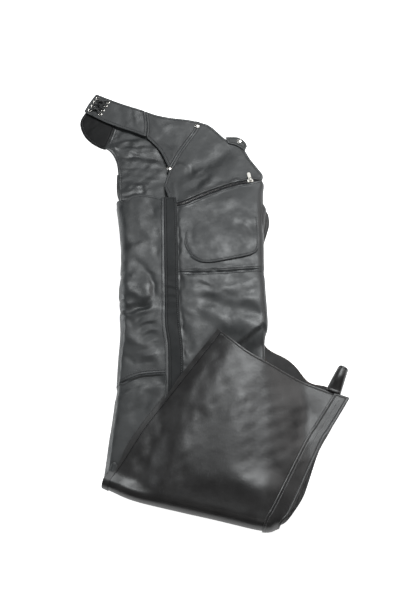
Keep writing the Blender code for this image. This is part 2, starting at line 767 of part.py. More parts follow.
def make_under_hip():
    rows = 15
    left = along_curve(UNDER_HIP_LEFT, rows)
    right = along_curve(UNDER_HIP_RIGHT, rows)
    top = straight_line(UNDER_HIP_LEFT[0], UNDER_HIP_RIGHT[0], 9)
    sheet("under_hip", patch(left, right, top), under_point, "inner_leather")


def make_front():
    seam_rows = 6
    side_rows = 4
    left = along_curve(YOKE_SEAM, seam_rows) + along_curve(SEAT_SIDE, side_rows)[1:]
    right = along_curve(FRONT_EDGE, seam_rows + side_rows)
    columns = 14
    zip_line = along_curve(ZIP_LINE, columns)
    upper = offset_curve(zip_line, ZIP_HALF_SLOT)
    lower = offset_curve(zip_line, -ZIP_HALF_SLOT)
    left[-1] = upper[0]
    right[-1] = upper[-1]
    sheet("front_panel", patch(left, right, along_curve(FRONT_TOP, columns), upper), leg_point)
    tape_edges = [offset_curve(zip_line, side * (ZIP_HALF_SLOT - ZIP_TAPE_GAP)) for side in (1, -1)]
    tape = [[above.lerp(below, row / 2) for above, below in zip(*tape_edges)] for row in range(3)]
    sheet("pocket_zip_tape", tape, leg_point, "zip_tape", thickness=ZIP_TAPE_THICKNESS)

    rows = 14
    seam = along_curve(KNEE_SEAM, columns)
    seam_side = [place + Vector((2 * MM, 0)) for place in along_curve([(-57, 184), (-54, 39)], rows)]
    seam_side[0] = lower[0]
    seam_side[-1] = seam[0]
    outer_side = along_curve([(105, 241), (102, 45)], rows)
    outer_side[0] = lower[-2]
    outer_side[-1] = seam[-1]
    top = resample(lower[:-1], columns)
    thigh = patch(seam_side, outer_side, top, seam)
    sheet("thigh_front", with_rolled_side(thigh, "right"), leg_point)

    knee_rows = 15
    left = along_curve([(-50, 39), (-48, -16), (-43, -114), (-40, -186)], knee_rows)
    right = along_curve([(102, 45), (104, -30), (104, -110), (104, -176)], knee_rows)
    left[0] = seam[0]
    right[0] = seam[-1]
    knee = patch(left, right, seam)
    sheet("knee_front", with_rolled_side(knee, "right"), leg_point)

    puff_rows = 11
    pouch = patch(along_curve(POUCH_LEFT, puff_rows), along_curve(POUCH_RIGHT, puff_rows),
                  along_curve(POUCH_TOP, 11), along_curve(POUCH_BOTTOM, 11))

    def puffed(u, v):
        return POUCH_PUFF * smoothstep(min(u, 1 - u) / 0.12) * smoothstep(min(v, 1 - v) / 0.12)

    sheet("pocket_pouch", pouch, leg_point, lift=PLACKET_LIFT, puff=puffed)


def resample(points, steps):
    lengths = [0.0]
    for first, second in zip(points, points[1:]):
        lengths.append(lengths[-1] + (second - first).length)
    result = []
    index = 0
    for step in range(steps + 1):
        target = lengths[-1] * step / steps
        while index < len(points) - 2 and lengths[index + 1] < target:
            index += 1
        span = lengths[index + 1] - lengths[index]
        result.append(points[index].lerp(points[index + 1], (target - lengths[index]) / span))
    return result


def make_back():
    columns = 6
    rows = 30
    seam_line = along_curve(UNDER_SEAM_LINE, rows)
    right = [place + Vector((-2 * MM, 0)) for place in seam_line]
    top = along_curve(BACK_TOP, columns)
    bottom = along_curve(BACK_SEAM, columns)
    left = along_curve(BACK_SIDE, rows)
    left[0] = top[0]
    left[-1] = bottom[0]
    top[-1] = right[0]
    bottom[-1] = right[-1]
    sheet("back_thigh", with_rolled_side(patch(left, right, top, bottom), "left"), leg_point)

    rows = 12
    left = along_curve([(-129, -174), (-132, -200), (-135, -252), (-143, -315), (-145, -330)], rows)
    right = along_curve([(-49, -157), (-50, -200), (-74, -250), (-112, -304), (-141, -328)], rows)
    left[0] = bottom[0]
    right[0] = bottom[-1]
    sheet("back_shin", with_rolled_side(patch(left, right, bottom), "left"), leg_point)


def make_placket():
    rows = 28
    left = along_curve(PLACKET_LEFT, rows)
    right = along_curve(PLACKET_RIGHT, rows)
    inner = [a + Vector((PIPING, 0)) for a in left]
    cover = patch(inner, right, straight_top(inner, right, 3))
    sheet("side_placket", cover, leg_point, lift=PLACKET_LIFT)
    piping = patch(left, inner, straight_top(left, inner, 2))
    sheet("placket_piping", piping, leg_point, lift=PLACKET_LIFT, thickness=PIPING_RISE)


def make_flap():
    calf_sheet("calf_panel", 0.0, 1.0, CALF_COLUMNS, 0.0, LEATHER)
    calf_sheet("calf_placket", PLACKET_SHARE, 1.0, 3, PLACKET_LIFT, LEATHER)
    calf_sheet("calf_binding", 0.0, BINDING_SHARE, 2, PLACKET_LIFT, BINDING_THICKNESS)
    make_folded_calf()
    columns = 10
    hem_left = straight_line(UNDER_HEM_TOP[0], UNDER_HEM_LOW[0], 3)
    hem_right = straight_line(UNDER_HEM_TOP[-1], UNDER_HEM_LOW[-1], 3)
    hem_top = along_curve(UNDER_HEM_TOP, columns)
    hem_low = along_curve(UNDER_HEM_LOW, columns)
    hem = patch(hem_left, hem_right, hem_top, hem_low)
    sheet("under_hem", hem, floor_point, "raw_edge")


def make_rolled_hem():
    """The under leg's hem corner, which leaves the floor and curls into a loose cone."""
    axis = ROLLED_HEM_END - ROLLED_HEM_START
    direction = axis.normalized()
    side = Vector((direction.y, -direction.x, 0))
    rows = 6
    turns = 22
    low = []
    high = []
    for r in range(rows + 1):
        share = r / rows
        radius = ROLLED_HEM_RADII[0] + (ROLLED_HEM_RADII[1] - ROLLED_HEM_RADII[0]) * share
        centre = ROLLED_HEM_START + axis * share + Vector((0, 0, radius + 0.3 * MM))
        low_line = []
        high_line = []
        for c in range(turns + 1):
            angle = ROLLED_HEM_TURN * c / turns
            spiral = radius - LEATHER - ROLLED_HEM_PITCH * angle / math.tau
            ray = side * math.sin(angle) - Vector((0, 0, 1)) * math.cos(angle)
            low_line.append(centre + ray * spiral)
            high_line.append(centre + ray * (spiral + LEATHER))
        low.append(low_line)
        high.append(high_line)
    wall_from_points("rolled_corner", low, high, "black_leather")


def make_strap():
    start = straight_line(STRAP_TOP[0], STRAP_LOW[0], 3)
    end = straight_line(STRAP_TOP[-1], STRAP_LOW[-1], 3)
    strap = patch(start, end, along_curve(STRAP_TOP, 6), along_curve(STRAP_LOW, 6))
    sheet("front_strap", strap, leg_point, lift=PLACKET_LIFT)


def turned(name, profile, place, normal, segments, material_name):
    """Round piece turned from a profile of (radius, height) points about the leather's normal."""
    bm = bmesh.new()
    points = [bm.verts.new((radius, 0, height)) for radius, height in profile]
    edges = [bm.edges.new((a, b)) for a, b in zip(points, points[1:])]
    if profile[0][0] > 0 and profile[-1][0] > 0:
        edges.append(bm.edges.new((points[-1], points[0])))
    bmesh.ops.spin(bm, geom=edges, cent=(0, 0, 0), axis=(0, 0, 1), dvec=(0, 0, 0), angle=math.tau,
                   steps=segments, use_merge=True, use_duplicate=False)
    bmesh.ops.remove_doubles(bm, verts=bm.verts[:], dist=0.00001)
    turn = normal.to_track_quat("Z", "Y").to_matrix().to_4x4()
    bmesh.ops.transform(bm, matrix=turn, verts=bm.verts[:])
    bmesh.ops.translate(bm, vec=place, verts=bm.verts[:])
    return finish(name, bm, material_name)


def on_leather(plan, lift):
    x, y = Vector(plan) * MM
    normal = surface_normal(leg_point, x, y)
    return leg_point(x, y) + normal * lift, normal


def make_snaps():
    profile = [(0, 0), (SNAP_RADIUS, 0), (SNAP_RADIUS, 0.35 * SNAP_HEIGHT),
               (0.84 * SNAP_RADIUS, 0.7 * SNAP_HEIGHT), (0.5 * SNAP_RADIUS, 0.93 * SNAP_HEIGHT),
               (0, SNAP_HEIGHT)]
    lifts = (LEATHER + SEAM, LEATHER + SEAM, 2 * LEATHER + 2 * SEAM)
    for index, (plan, lift) in enumerate(zip(SNAPS, lifts), start=1):
        place, normal = on_leather(plan, lift)
        turned(f"snap_{index}", profile, place, normal, 16, "nickel")


def make_lacing():
    profile = [(EYELET_INNER, 0), (EYELET_OUTER, 0), (0.92 * EYELET_OUTER, 0.7 * EYELET_HEIGHT),
               (0.74 * EYELET_OUTER, EYELET_HEIGHT), (1.25 * EYELET_INNER, 0.7 * EYELET_HEIGHT)]
    for side, column in (("left", EYELETS_LEFT), ("right", EYELETS_RIGHT)):
        for index, plan in enumerate(column, start=1):
            place, normal = on_leather(plan, BAND + SEAM)
            turned(f"eyelet_{side}_{index}", profile, place, normal, 10, "nickel")
    make_lace("lace_over", 0, LACE_OVER_RISE)
    make_lace("lace_under", 1, LACE_UNDER_RISE)


def make_lace(name, start, crossing):
    """One lace that zigzags down the two columns of eyelets, held at each."""
    columns = (EYELETS_LEFT, EYELETS_RIGHT)
    stops = [columns[(row + start) % 2][row] for row in range(4)]
    above_rim = EYELET_HEIGHT + 2 * SEAM + LACE_RADIUS
    route = []
    for first, second in zip(stops, stops[1:]):
        a, normal = on_leather(first, BAND)
        b, _ = on_leather(second, BAND)
        for share, hump in LACE_HUMP:
            route.append(a.lerp(b, share) + normal * (above_rim + crossing * hump))
    route.append(b + normal * above_rim)
    curve = bpy.data.curves.new(name, "CURVE")
    curve.dimensions = "3D"
    curve.bevel_depth = LACE_RADIUS
    curve.bevel_resolution = 2
    curve.use_fill_caps = True
    spline = curve.splines.new("POLY")
    spline.points.add(len(route) - 1)
    for point, place in zip(spline.points, route):
        point.co = (*place, 1)
    lace = bpy.data.objects.new(name, curve)
    curve.materials.append(material("lace_leather"))
    bpy.context.collection.objects.link(lace)
    lace.parent = chaps


def zip_frame():
    """Place of the slider on the zip, and the turn to the zip's own axes: along, across, outward."""
    line = along_curve(ZIP_LINE, 40)
    index = min(range(1, len(line) - 1), key=lambda i: abs(line[i].x - SLIDER_ACROSS))
    here = line[index]
    normal = surface_normal(leg_point, here.x, here.y)
    after = line[index + 1]
    before = line[index - 1]
    along = leg_point(after.x, after.y) - leg_point(before.x, before.y)
    along = (along - normal * along.dot(normal)).normalized()
    across = normal.cross(along)
    turn = Matrix((along, across, normal)).transposed()
    return leg_point(here.x, here.y), turn


def block(bm, low, high):
    """Box between two corners."""
    made = bmesh.ops.create_cube(bm, size=1.0)["verts"]
    size = [b - a for a, b in zip(low, high)]
    middle = [(a + b) / 2 for a, b in zip(low, high)]
    bmesh.ops.scale(bm, vec=size, verts=made)
    bmesh.ops.translate(bm, vec=middle, verts=made)
    return made


def thicken(bm, offset):
    """Extrudes the faces of a flat piece by one vector."""
    made = bmesh.ops.extrude_face_region(bm, geom=bm.faces[:])["geom"]
    raised = [item for item in made if isinstance(item, bmesh.types.BMVert)]
    bmesh.ops.translate(bm, vec=offset, verts=raised)


def make_slider_body():
    bm = bmesh.new()
    half_length = SLIDER_LENGTH / 2
    half_width = SLIDER_WIDTH / 2
    block(bm, (-half_length, -half_width, ZIP_TAPE_THICKNESS + SEAM), (half_length, half_width, SLIDER_TOP))
    bmesh.ops.bevel(bm, geom=bm.edges[:], offset=0.6 * MM, segments=1, profile=0.5, affect="EDGES",
                    material=-1)
    return finish("pocket_slider", bm, "nickel", smooth=False)


def make_slider_arch():
    """Flat arch across the zip, with its feet in the slider's body."""
    top = SLIDER_TOP + ARCH_TUNNEL + ARCH_WIRE
    foot = SLIDER_TOP - ARCH_FOOT
    inner = ARCH_HALF - ARCH_WIRE
    corner = [(ARCH_HALF, top - ARCH_CORNER), (ARCH_HALF - ARCH_CORNER, top)]
    half = [(inner, foot), (ARCH_HALF, foot)] + corner
    mirrored = [(-y, z) for y, z in reversed(half)]
    tunnel = [(-inner, top - ARCH_WIRE), (inner, top - ARCH_WIRE)]
    bm = bmesh.new()
    bm.faces.new([bm.verts.new((-ARCH_WIRE / 2, y, z)) for y, z in half + mirrored + tunnel])
    thicken(bm, (ARCH_WIRE, 0, 0))
    return finish("slider_arch", bm, "nickel", smooth=False)


def make_pull_tab():
    """Flat tab with a window near its cross bar, which is on the joint's axis."""
    across = (-TAB_HALF, -TAB_WINDOW_HALF, TAB_WINDOW_HALF, TAB_HALF)
    rows = [(-TAB_THICK / 2, 1.0), (TAB_THICK / 2, 1.0), (TAB_WINDOW_END, 1.0)]
    rows += [(share * TAB_LENGTH, width) for share, width in TAB_OUTLINE]
    bm = bmesh.new()
    lines = [[bm.verts.new((x * width, y, -TAB_THICK / 2)) for x in across] for y, width in rows]
    for row, (first, second) in enumerate(zip(lines, lines[1:])):
        for column in range(3):
            window = row == 1 and column == 1
            if not window:
                bm.faces.new((first[column], first[column + 1], second[column + 1], second[column]))
    thicken(bm, (0, 0, TAB_THICK))
    return finish("pull_tab", bm, "nickel", smooth=False)


def make_zip_pull():
    """Slider with an arch across the zip, and the tab whose cross bar hangs in the arch."""
    place, turn = zip_frame()
    slider = make_slider_body()
    arch = make_slider_arch()
    arch.hide_render = True
    arch.display_type = "WIRE"
    for piece in (slider, arch):
        piece.matrix_local = Matrix.Translation(place) @ turn.to_4x4()
    union = slider.modifiers.new("arch", "BOOLEAN")
    union.operation = "UNION"
    union.solver = "EXACT"
    union.object = arch
    tab = make_pull_tab()
    pivot = place + turn @ Vector((0, 0, SLIDER_TOP + TAB_PIVOT_RISE))
    rest = turn @ Matrix.Rotation(-TAB_REST_TILT, 3, "X")
    tab.matrix_local = Matrix.Translation(pivot) @ rest.to_4x4()


def stand_on_origin():
    """Moves the root so that the origin is the middle of the part's box, on the floor."""
    bpy.context.view_layer.update()
    graph = bpy.context.evaluated_depsgraph_get()
    low = Vector((1, 1, 1))
    high = Vector((-1, -1, -1))
    for piece in chaps.children:
        if piece.hide_render:
            continue
        seen = piece.evaluated_get(graph)
        mesh = seen.to_mesh()
        for vert in mesh.vertices:
            place = seen.matrix_world @ vert.co
            low = Vector(min(pair) for pair in zip(low, place))
            high = Vector(max(pair) for pair in zip(high, place))
        seen.to_mesh_clear()
    chaps.location = (-(low.x + high.x) / 2, -(low.y + high.y) / 2, -low.z)


for old in list(bpy.data.objects):
    bpy.data.objects.remove(old)
chaps = bpy.data.objects.new("chaps", None)
bpy.context.collection.objects.link(chaps)

make_hidden_layers()
make_hidden_waist()
make_under_hip()
make_waist()
make_front()
make_back()
make_placket()
make_flap()
make_rolled_hem()
make_strap()
make_snaps()
make_lacing()
make_zip_pull()
stand_on_origin()
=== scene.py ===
"""Leather chaps, folded in half and laid flat, with both calves folded back up over the shins.

Places in the tables are millimetres on the plan, seen from above: x to the right, y up towards the
waist. PLAN moves them into the frame, whose origin is the middle of the part's box.
"""

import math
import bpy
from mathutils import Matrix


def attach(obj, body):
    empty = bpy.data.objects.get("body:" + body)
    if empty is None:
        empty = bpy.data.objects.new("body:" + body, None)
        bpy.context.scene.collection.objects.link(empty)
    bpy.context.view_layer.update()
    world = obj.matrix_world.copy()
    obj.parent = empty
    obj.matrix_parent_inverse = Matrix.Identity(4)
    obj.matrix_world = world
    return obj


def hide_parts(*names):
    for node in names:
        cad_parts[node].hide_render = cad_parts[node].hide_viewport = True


bl_info = {
    "name": "Folded leather chaps",
    "version": (1, 0, 0),
    "blender": (4, 5, 0),
    "location": "3D View > Sidebar > Chaps",
    "description": "Dresses the packed chaps in grained leather, sewing, lacing and metal fittings",
    "category": "Object",
}

from collections import namedtuple

import bmesh
import bpy
import numpy as np
from mathutils import Matrix, Vector, kdtree
from mathutils.bvhtree import BVHTree

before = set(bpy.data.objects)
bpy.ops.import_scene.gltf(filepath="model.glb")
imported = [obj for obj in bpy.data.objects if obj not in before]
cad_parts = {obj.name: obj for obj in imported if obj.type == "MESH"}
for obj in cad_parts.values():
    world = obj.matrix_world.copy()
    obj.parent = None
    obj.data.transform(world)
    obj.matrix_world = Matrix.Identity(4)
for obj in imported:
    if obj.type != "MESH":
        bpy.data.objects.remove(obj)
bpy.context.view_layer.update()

MM = 0.001
PLAN = Vector((-0.009173, -0.01848, 0.0))
GARMENT = "garment"

# the camera looks at PLAN: its height angle, its distance in metres, its lens and sensor in millimetres
CAMERA_ELEVATION = math.radians(62.0)
CAMERA_DISTANCE = 1.83
CAMERA_LENS = 60.9
CAMERA_SENSOR = 36

# softboxes: name, place and size in metres, power in watts and tint
LIGHTS = [
    ("softbox_top", (0.55, 1.45, 2.35), (1.35, 1.2), 65, (0.96, 0.99, 1.0)),
    ("softbox_left", (-2.2, 0.3, 0.75), (0.8, 1.4), 34, (0.94, 0.98, 1.0)),
    ("softbox_right", (1.75, 1.15, 1.35), (1.4, 1.4), 15, (1.0, 0.98, 0.97)),
    ("softbox_front", (0.6, -1.6, 2.2), (1.2, 1.0), 5, (1.0, 0.98, 0.96)),
]
FLOOR_REACH = 6.0
FLOOR_DROP = 0.2 * MM

# the leg's pile on the plan: its two edges and how far in they round, its middle, and its end at the hip
LEG_LEFT = -142 * MM
LEG_RIGHT = 118 * MM
LEG_ROUNDING = 13 * MM
LEG_MIDDLE_HEIGHT = 14 * MM
LEG_TOP = 190 * MM
LEG_TOP_FADE = 20 * MM

# one row for each leather piece: what it replaces, how it is cut and what it lies on
Shell = namedtuple("Shell", "node slot finish pile flat area level rests_on")
SHELLS = [
    Shell("under_waistband", "inner_leather", "lining", "under", (0.05, 0.11), 0.0044, 3, "floor"),
    Shell("under_hip", "inner_leather", "inner", "under", (0.14, 0.20), 0.0198, 3, "hidden_layers"),
    Shell("waistband_back", "shell_leather", "outer", "leg", (0.052, 0.135), 0.0068, 3, "under_waistband"),
    Shell("hip_yoke", "shell_leather", "outer", "leg", (0.12, 0.11), 0.0079, 3, "hidden_waist_layers"),
    Shell("front_panel", "shell_leather", "outer", "leg", (0.20, 0.19), 0.0214, 3, "hidden_layers"),
    Shell("front_strap", "shell_leather", "outer", "leg", (0.018, 0.047), 0.00077, 3, "front_panel"),
    Shell("thigh_front", "shell_leather", "outer", "leg", (0.18, 0.20), 0.0325, 3, "hidden_layers"),
    Shell("pocket_pouch", "shell_leather", "outer", "leg", (0.14, 0.165), 0.0212, 3, "thigh_front"),
    Shell("knee_front", "shell_leather", "outer", "leg", (0.175, 0.24), 0.039, 3, "hidden_layers"),
    Shell("back_thigh", "shell_leather", "outer", "leg", (0.115, 0.385), 0.0388, 3, "hidden_layers"),
    Shell("back_shin", "shell_leather", "outer", "leg", (0.13, 0.175), 0.0140, 3, "hidden_layers"),
    Shell("side_placket", "shell_leather", "placket", "leg", (0.03, 0.42), 0.0104, 3, "back_thigh"),
    Shell("placket_piping", "shell_leather", "piping", "leg", (0.0102, 0.42), 0.0023, 3, "back_thigh"),
    Shell("calf_panel", "shell_leather", "calf", "flap", (0.33, 0.37), 0.088, 3, "knee_front"),
    Shell("calf_placket", "shell_leather", "calf", "flap", (0.032, 0.29), 0.0087, 3, "calf_panel"),
    Shell("calf_binding", "shell_leather", "binding", "flap", (0.0105, 0.345), 0.0033, 3, "calf_panel"),
    Shell("rolled_corner", "shell_leather", "calf", "floor", (0.045, 0.085), 0.0033, 2, "floor"),
    Shell("under_hem", "raw_edge", "raw", "floor", (0.12, 0.055), 0.0037, 3, "floor"),
]
ZIP_TAPE = Shell("pocket_zip_tape", "zip_tape", "tape", "leg", (0.0101, 0.18), 0.0014, 3, "hidden_layers")

# what no view shows, with the pile that it lies in
CORES = [("hidden_layers", "leg"), ("hidden_waist_layers", "leg"), ("folded_calf_layers", "flap")]
CORE_LEVEL = 3
LACE_LEVEL = 2

# how far the walls of a pile go out, which closes the gaps at its seams
SWELL = {"leg": 0.2 * MM, "under": 0.6 * MM, "flap": 0.2 * MM, "floor": 0.2 * MM}
# how firmly a wall's rim keeps its square corners
FIRMNESS = {"leg": 0.4, "under": 0.9, "flap": 0.7, "floor": 0.6}
PLAIN_FIRMNESS = 0.42

# angles in radians past which an edge is part of the rim, and two triangles aren't joined
SHARP_ANGLE = 0.9
ANY_ANGLE = 3.1
TOUCHING = 0.001 * MM
RIM_STEP = 1.5 * MM

# creases: a line on the plan, its half width, its rise and how far its middle bows to the left
Crease = namedtuple("Crease", "x1 y1 x2 y2 width rise bow")
LEG_CREASES = [
    # waistband and yoke
    Crease(-118, 424, -104, 366, 5, -2.4, 2),
    Crease(-130, 422, -122, 380, 5, 1.5, -2),
    Crease(-150, 430, -138, 386, 7, 1.2, 1),
    Crease(-186, 446, -170, 396, 14, 1.4, 2),
    Crease(-164, 436, -154, 392, 9, -1.2, 2),
    Crease(-92, 404, -70, 372, 9, 2.0, 2),
    Crease(-84, 352, -52, 330, 9, -1.6, 2),
    Crease(-70, 385, -22, 398, 8, 1.2, -3),
    Crease(-60, 330, -46, 300, 7, 1.6, 1),
    # hip front, round the snap and down to the zip
    Crease(-44, 290, -24, 276, 6, 2.6, 3),
    Crease(-22, 284, -16, 256, 5, -3.4, 2),
    Crease(-34, 246, -10, 264, 5, 2.0, 0),
    Crease(-26, 218, 16, 262, 6, -3.4, -4),
    Crease(-36, 232, 4, 278, 6, 2.6, -3),
    Crease(-8, 212, 30, 254, 7, 1.8, -2),
    Crease(12, 296, 40, 344, 15, 1.0, 4),
    Crease(40, 286, 60, 336, 13, -1.0, 3),
    Crease(66, 262, 82, 316, 11, 0.9, 4),
    Crease(-50, 240, -46, 204, 4, 1.6, 0),
    # lips of the pocket zip
    Crease(-37, 195.5, 6, 218, 2.2, 2.8, 0),
    Crease(6, 218, 42, 236.5, 2.2, 2.8, 0),
    Crease(42, 236.5, 74, 248, 2.2, 2.8, 0),
    Crease(74, 248, 106, 253, 2.2, 2.8, 0),
    Crease(-31, 182.5, 12, 205.5, 2.2, 2.8, 0),
    Crease(12, 205.5, 48, 223.5, 2.2, 2.8, 0),
    Crease(48, 223.5, 78, 234.5, 2.2, 2.8, 0),
    Crease(78, 234.5, 106, 239.5, 2.2, 2.8, 0),
    # pouch and thigh
    Crease(70, 150, 98, 116, 8, -3.6, 3),
    Crease(56, 130, 88, 96, 9, 2.6, 2),
    Crease(24, 160, 76, 122, 15, -2.2, 4),
    Crease(-8, 122, 40, 82, 14, 2.2, 5),
    Crease(10, 190, 78, 206, 12, 1.4, -3),
    Crease(6, 164, 60, 178, 12, -1.2, -3),
    Crease(-40, 160, -34, 90, 5, 0.8, 0),
    # edge of the zip cover, and the piped knee seam with its shadow line
    Crease(-42.5, 203, -36, -16, 2.4, -3.6, 0),
    Crease(-36, -16, -27, -116, 2.4, -3.6, 0),
    Crease(-27, -116, -26, -180, 2.4, -3.6, 0),
    Crease(-36, 45, 102, 51, 3.2, 2.4, 0),
    Crease(-36, 36.5, 102, 42.5, 2.2, -3.4, 0),
    # knee: soft folds that fan out from the placket
    Crease(-28, 26, 24, 12, 6, 2.6, 4),
    Crease(-24, 12, 34, 4, 6, -3.0, 3),
    Crease(26, 6, 104, 24, 9, 3.0, -5),
    Crease(40, -10, 106, 6, 8, -2.6, -4),
    Crease(4, -12, 66, -58, 11, -3.4, 6),
    Crease(-10, -26, 50, -74, 11, 2.8, 5),
    Crease(70, -30, 108, -50, 11, -3.2, 4),
    Crease(56, -48, 100, -68, 8, 1.4, 2),
    Crease(-30, -64, -18, -122, 8, -2.6, 2),
    Crease(-36, 20, -34, 6, 3, 1.0, 0),
    Crease(-30, 21, -28, 8, 3, 1.0, 0),
    Crease(-24, 22, -22, 10, 3, 0.8, 0),
    Crease(-33, 30, -32, 4, 3, -2.0, 0),
    Crease(-36, -30, -10, -46, 5, 1.8, 1),
    # back of the thigh, from the free stitched edge down
    Crease(-96, 200, -86, 158, 10, -4.6, 3),
    Crease(-134, 198, -126, 158, 8, 2.0, -2),
    Crease(-118, 190, -108, 138, 10, 2.0, 2),
    Crease(-134, 120, -88, 92, 11, -2.2, 4),
    Crease(-128, 82, -90, 104, 9, 1.8, 2),
    Crease(-84, 136, -78, 70, 7, -2.6, 2),
    Crease(-140, 66, -96, 48, 8, -2.6, 3),
    Crease(-138, 34, -104, 34, 8, 1.6, 1),
    Crease(-142, 25, -90, 22, 10, -5.0, 0),
    Crease(-142, -8, -84, -12, 12, 11.0, 0),
    Crease(-142, -36, -92, -31, 6, -7.0, 0),
    Crease(-92, 38, -84, -12, 6, -7.0, 6),
    Crease(-138, -40, -90, -22, 5, -5.5, -6),
    Crease(-116, -44, -82, -34, 4, 2.6, 1),
    Crease(-112, -58, -76, -42, 4, -2.8, 2),
    Crease(-106, -64, -74, -54, 3.5, 2.4, -2),
    Crease(-108, -76, -80, -62, 3.5, -2.4, 1),
    Crease(-100, -82, -74, -74, 3, 2.0, 1),
    Crease(-138, -52, -114, -66, 7, -2.2, 2),
    Crease(-102, -94, -76, -84, 3.5, -2.4, 2),
    Crease(-108, -104, -74, -94, 3.5, 2.2, -2),
    Crease(-104, -118, -76, -110, 3, -2.2, 1),
    Crease(-98, -128, -72, -120, 3, 2.0, 1),
    Crease(-104, -142, -74, -132, 3, -1.6, -1),
    Crease(-136, -86, -110, -102, 8, 1.8, 3),
    Crease(-134, -126, -112, -138, 7, -1.6, 2),
    # notches and swellings of the folded edge
    Crease(-152, 32, -124, 32, 5, -3.6, 0),
    Crease(-152, 8, -124, 8, 9, 1.6, 0),
    Crease(-152, -15, -124, -14, 5, -3.6, 0),
    Crease(-152, -36, -128, -36, 9, 1.4, 0),
    Crease(-152, 96, -128, 92, 12, -1.4, 0),
    Crease(-152, -96, -128, -98, 12, -1.2, 0),
    Crease(106, 44, 124, 40, 7, -2.4, 0),
    Crease(106, -70, 124, -64, 9, -2.0, 0),
    # back of the shin
    Crease(-120, -184, -66, -176, 7, 1.8, 2),
    Crease(-80, -188, -112, -236, 11, -3.6, 3),
    Crease(-98, -186, -128, -224, 8, 1.8, 3),
    # gathers across the zip cover
    Crease(-66, 30, -38, 29, 3.0, -1.6, 0),
    Crease(-66, 12, -38, 8, 2.6, 1.2, 0),
    Crease(-66, 3, -38, 0, 2.6, -1.2, 1),
    Crease(-65, -7, -37, -8, 2.4, 1.2, 0),
    Crease(-65, -15, -37, -18, 2.6, -1.1, 1),
    Crease(-64, -24, -36, -25, 2.4, 1.1, 0),
    Crease(-64, -33, -36, -36, 2.8, -1.0, 0),
    Crease(-64, -44, -36, -46, 3.0, 0.9, 1),
    Crease(-66, 20, -40, 19, 2.4, -1.1, 0),
]
UNDER_CREASES = [
    Crease(-160, 346, -88, 352, 4, 1.9, 2),
    Crease(-158, 336, -86, 338, 3.6, -1.8, 1),
    Crease(-154, 324, -80, 322, 4, 1.6, -2),
    Crease(-154, 312, -74, 304, 3.6, -1.5, 2),
    Crease(-150, 300, -72, 288, 4, 1.3, 3),
    Crease(-150, 284, -96, 280, 4, -1.2, 2),
    Crease(-146, 268, -80, 254, 5, 1.3, -2),
    Crease(-152, 252, -104, 246, 5, -1.1, 1),
    Crease(-140, 236, -116, 240, 6, 1.8, 2),
    Crease(-148, 214, -110, 222, 4, -2.4, 3),
    Crease(-110, 222, -112, 240, 4, -1.6, 1),
    Crease(-104, 232, -78, 214, 6, 1.0, 2),
    Crease(-176, 372, -120, 382, 5, -1.3, 2),
    Crease(-166, 360, -150, 384, 5, -1.2, 1),
    Crease(-228, 396, -204, 372, 5, 1.1, 3),
    Crease(-214, 408, -186, 392, 5, 0.9, 2),
    Crease(-232, 412, -216, 396, 4, -0.9, 1),
    Crease(-222, 372, -196, 356, 4, -1.0, 1),
    Crease(-176, 352, -166, 330, 4, 1.1, 1),
]
FLAP_CREASES = [
    Crease(54, -118, -70, -366, 20, 2.6, 0),
    Crease(-44, -232, -110, -356, 14, -2.8, 0),
    Crease(6, -228, -18, -280, 10, -0.9, 2),
    Crease(98, -150, 94, -350, 22, -2.6, 0),
    Crease(152, -196, 148, -330, 20, 3.2, 0),
    Crease(190, -204, 152, -284, 14, -0.6, 3),
    Crease(30, -330, 120, -360, 18, 1.0, -4),
    Crease(-120, -318, -46, -352, 12, 0.8, -3),
    Crease(66, -196, 44, -246, 5, 0.3, 1),
    Crease(80, -206, 60, -262, 5, -0.3, 1),
]

# steps: what lies on the left of the line, looking along it, drops
Step = namedtuple("Step", "x1 y1 x2 y2 width drop bow reach")
LEG_STEPS = [
    Step(40, -66, -178, -387, 14, -5.0, 0, 92),
    Step(-64, -160, -152, -184, 1.4, -2.0, -7, 24),
    Step(-152, -350, -131, -62, 1.6, -2.4, 0, 26),
    Step(112, -64, 52, -114, 2.2, -4.0, 0, 80),
    Step(122, -80, 62, -130, 14, -4.0, 0, 90),
]
FLAP_STEPS = [
    Step(-72, -372, 36, -70, 24, -8.0, 26, 300),
    Step(150, -394, -190, -296, 44, -4.6, 0, 300),
]

# pushes: a piece, or a pile of them, is moved by so many millimetres near a place
Push = namedtuple("Push", "who x y radius dx dy dz")
PUSHES = [
    Push("leg", -147, 202, 14, 8, -3, 0),
    Push("leg", -152, -334, 20, -1, -9, -2),
    Push("flap", -166, -346, 28, -4, 0, 3.5),
    Push("flap", 133, -428, 15, -5, 6, 0),
    Push("under_hem", 116, -98, 30, -15, 0, 0),
    Push("under_hem", 150, -126, 26, 2, 4, 0),
    Push("rolled_corner", 226, -182, 20, -2, -5, -14),
    Push("thigh_front", 110, 240, 9, 5, 5, 0),
    Push("front_panel", 110, 268, 10, 3, -5, 0),
    Push("hip_yoke", -2, 394, 7, 3, 2, 0),
    Push("front_panel", -2, 394, 7, -3, 2, 0),
    Push("under_hip", -74, 224, 24, 7, 0, 0),
    Push("pocket_pouch", 105, 72, 10, -3, 4, 0),
    Push("hidden_layers", 114, 252, 16, 6, 0, 0),
    Push("hidden_waist_layers", 114, 262, 16, 6, 0, 0),
    Push("hidden_layers", 116, 186, 15, 9, 0, 0),
    Push("hidden_layers", 116, 160, 18, 5, 0, 0),
    Push("hidden_layers", 116, 134, 18, 2, 0, 0),
]

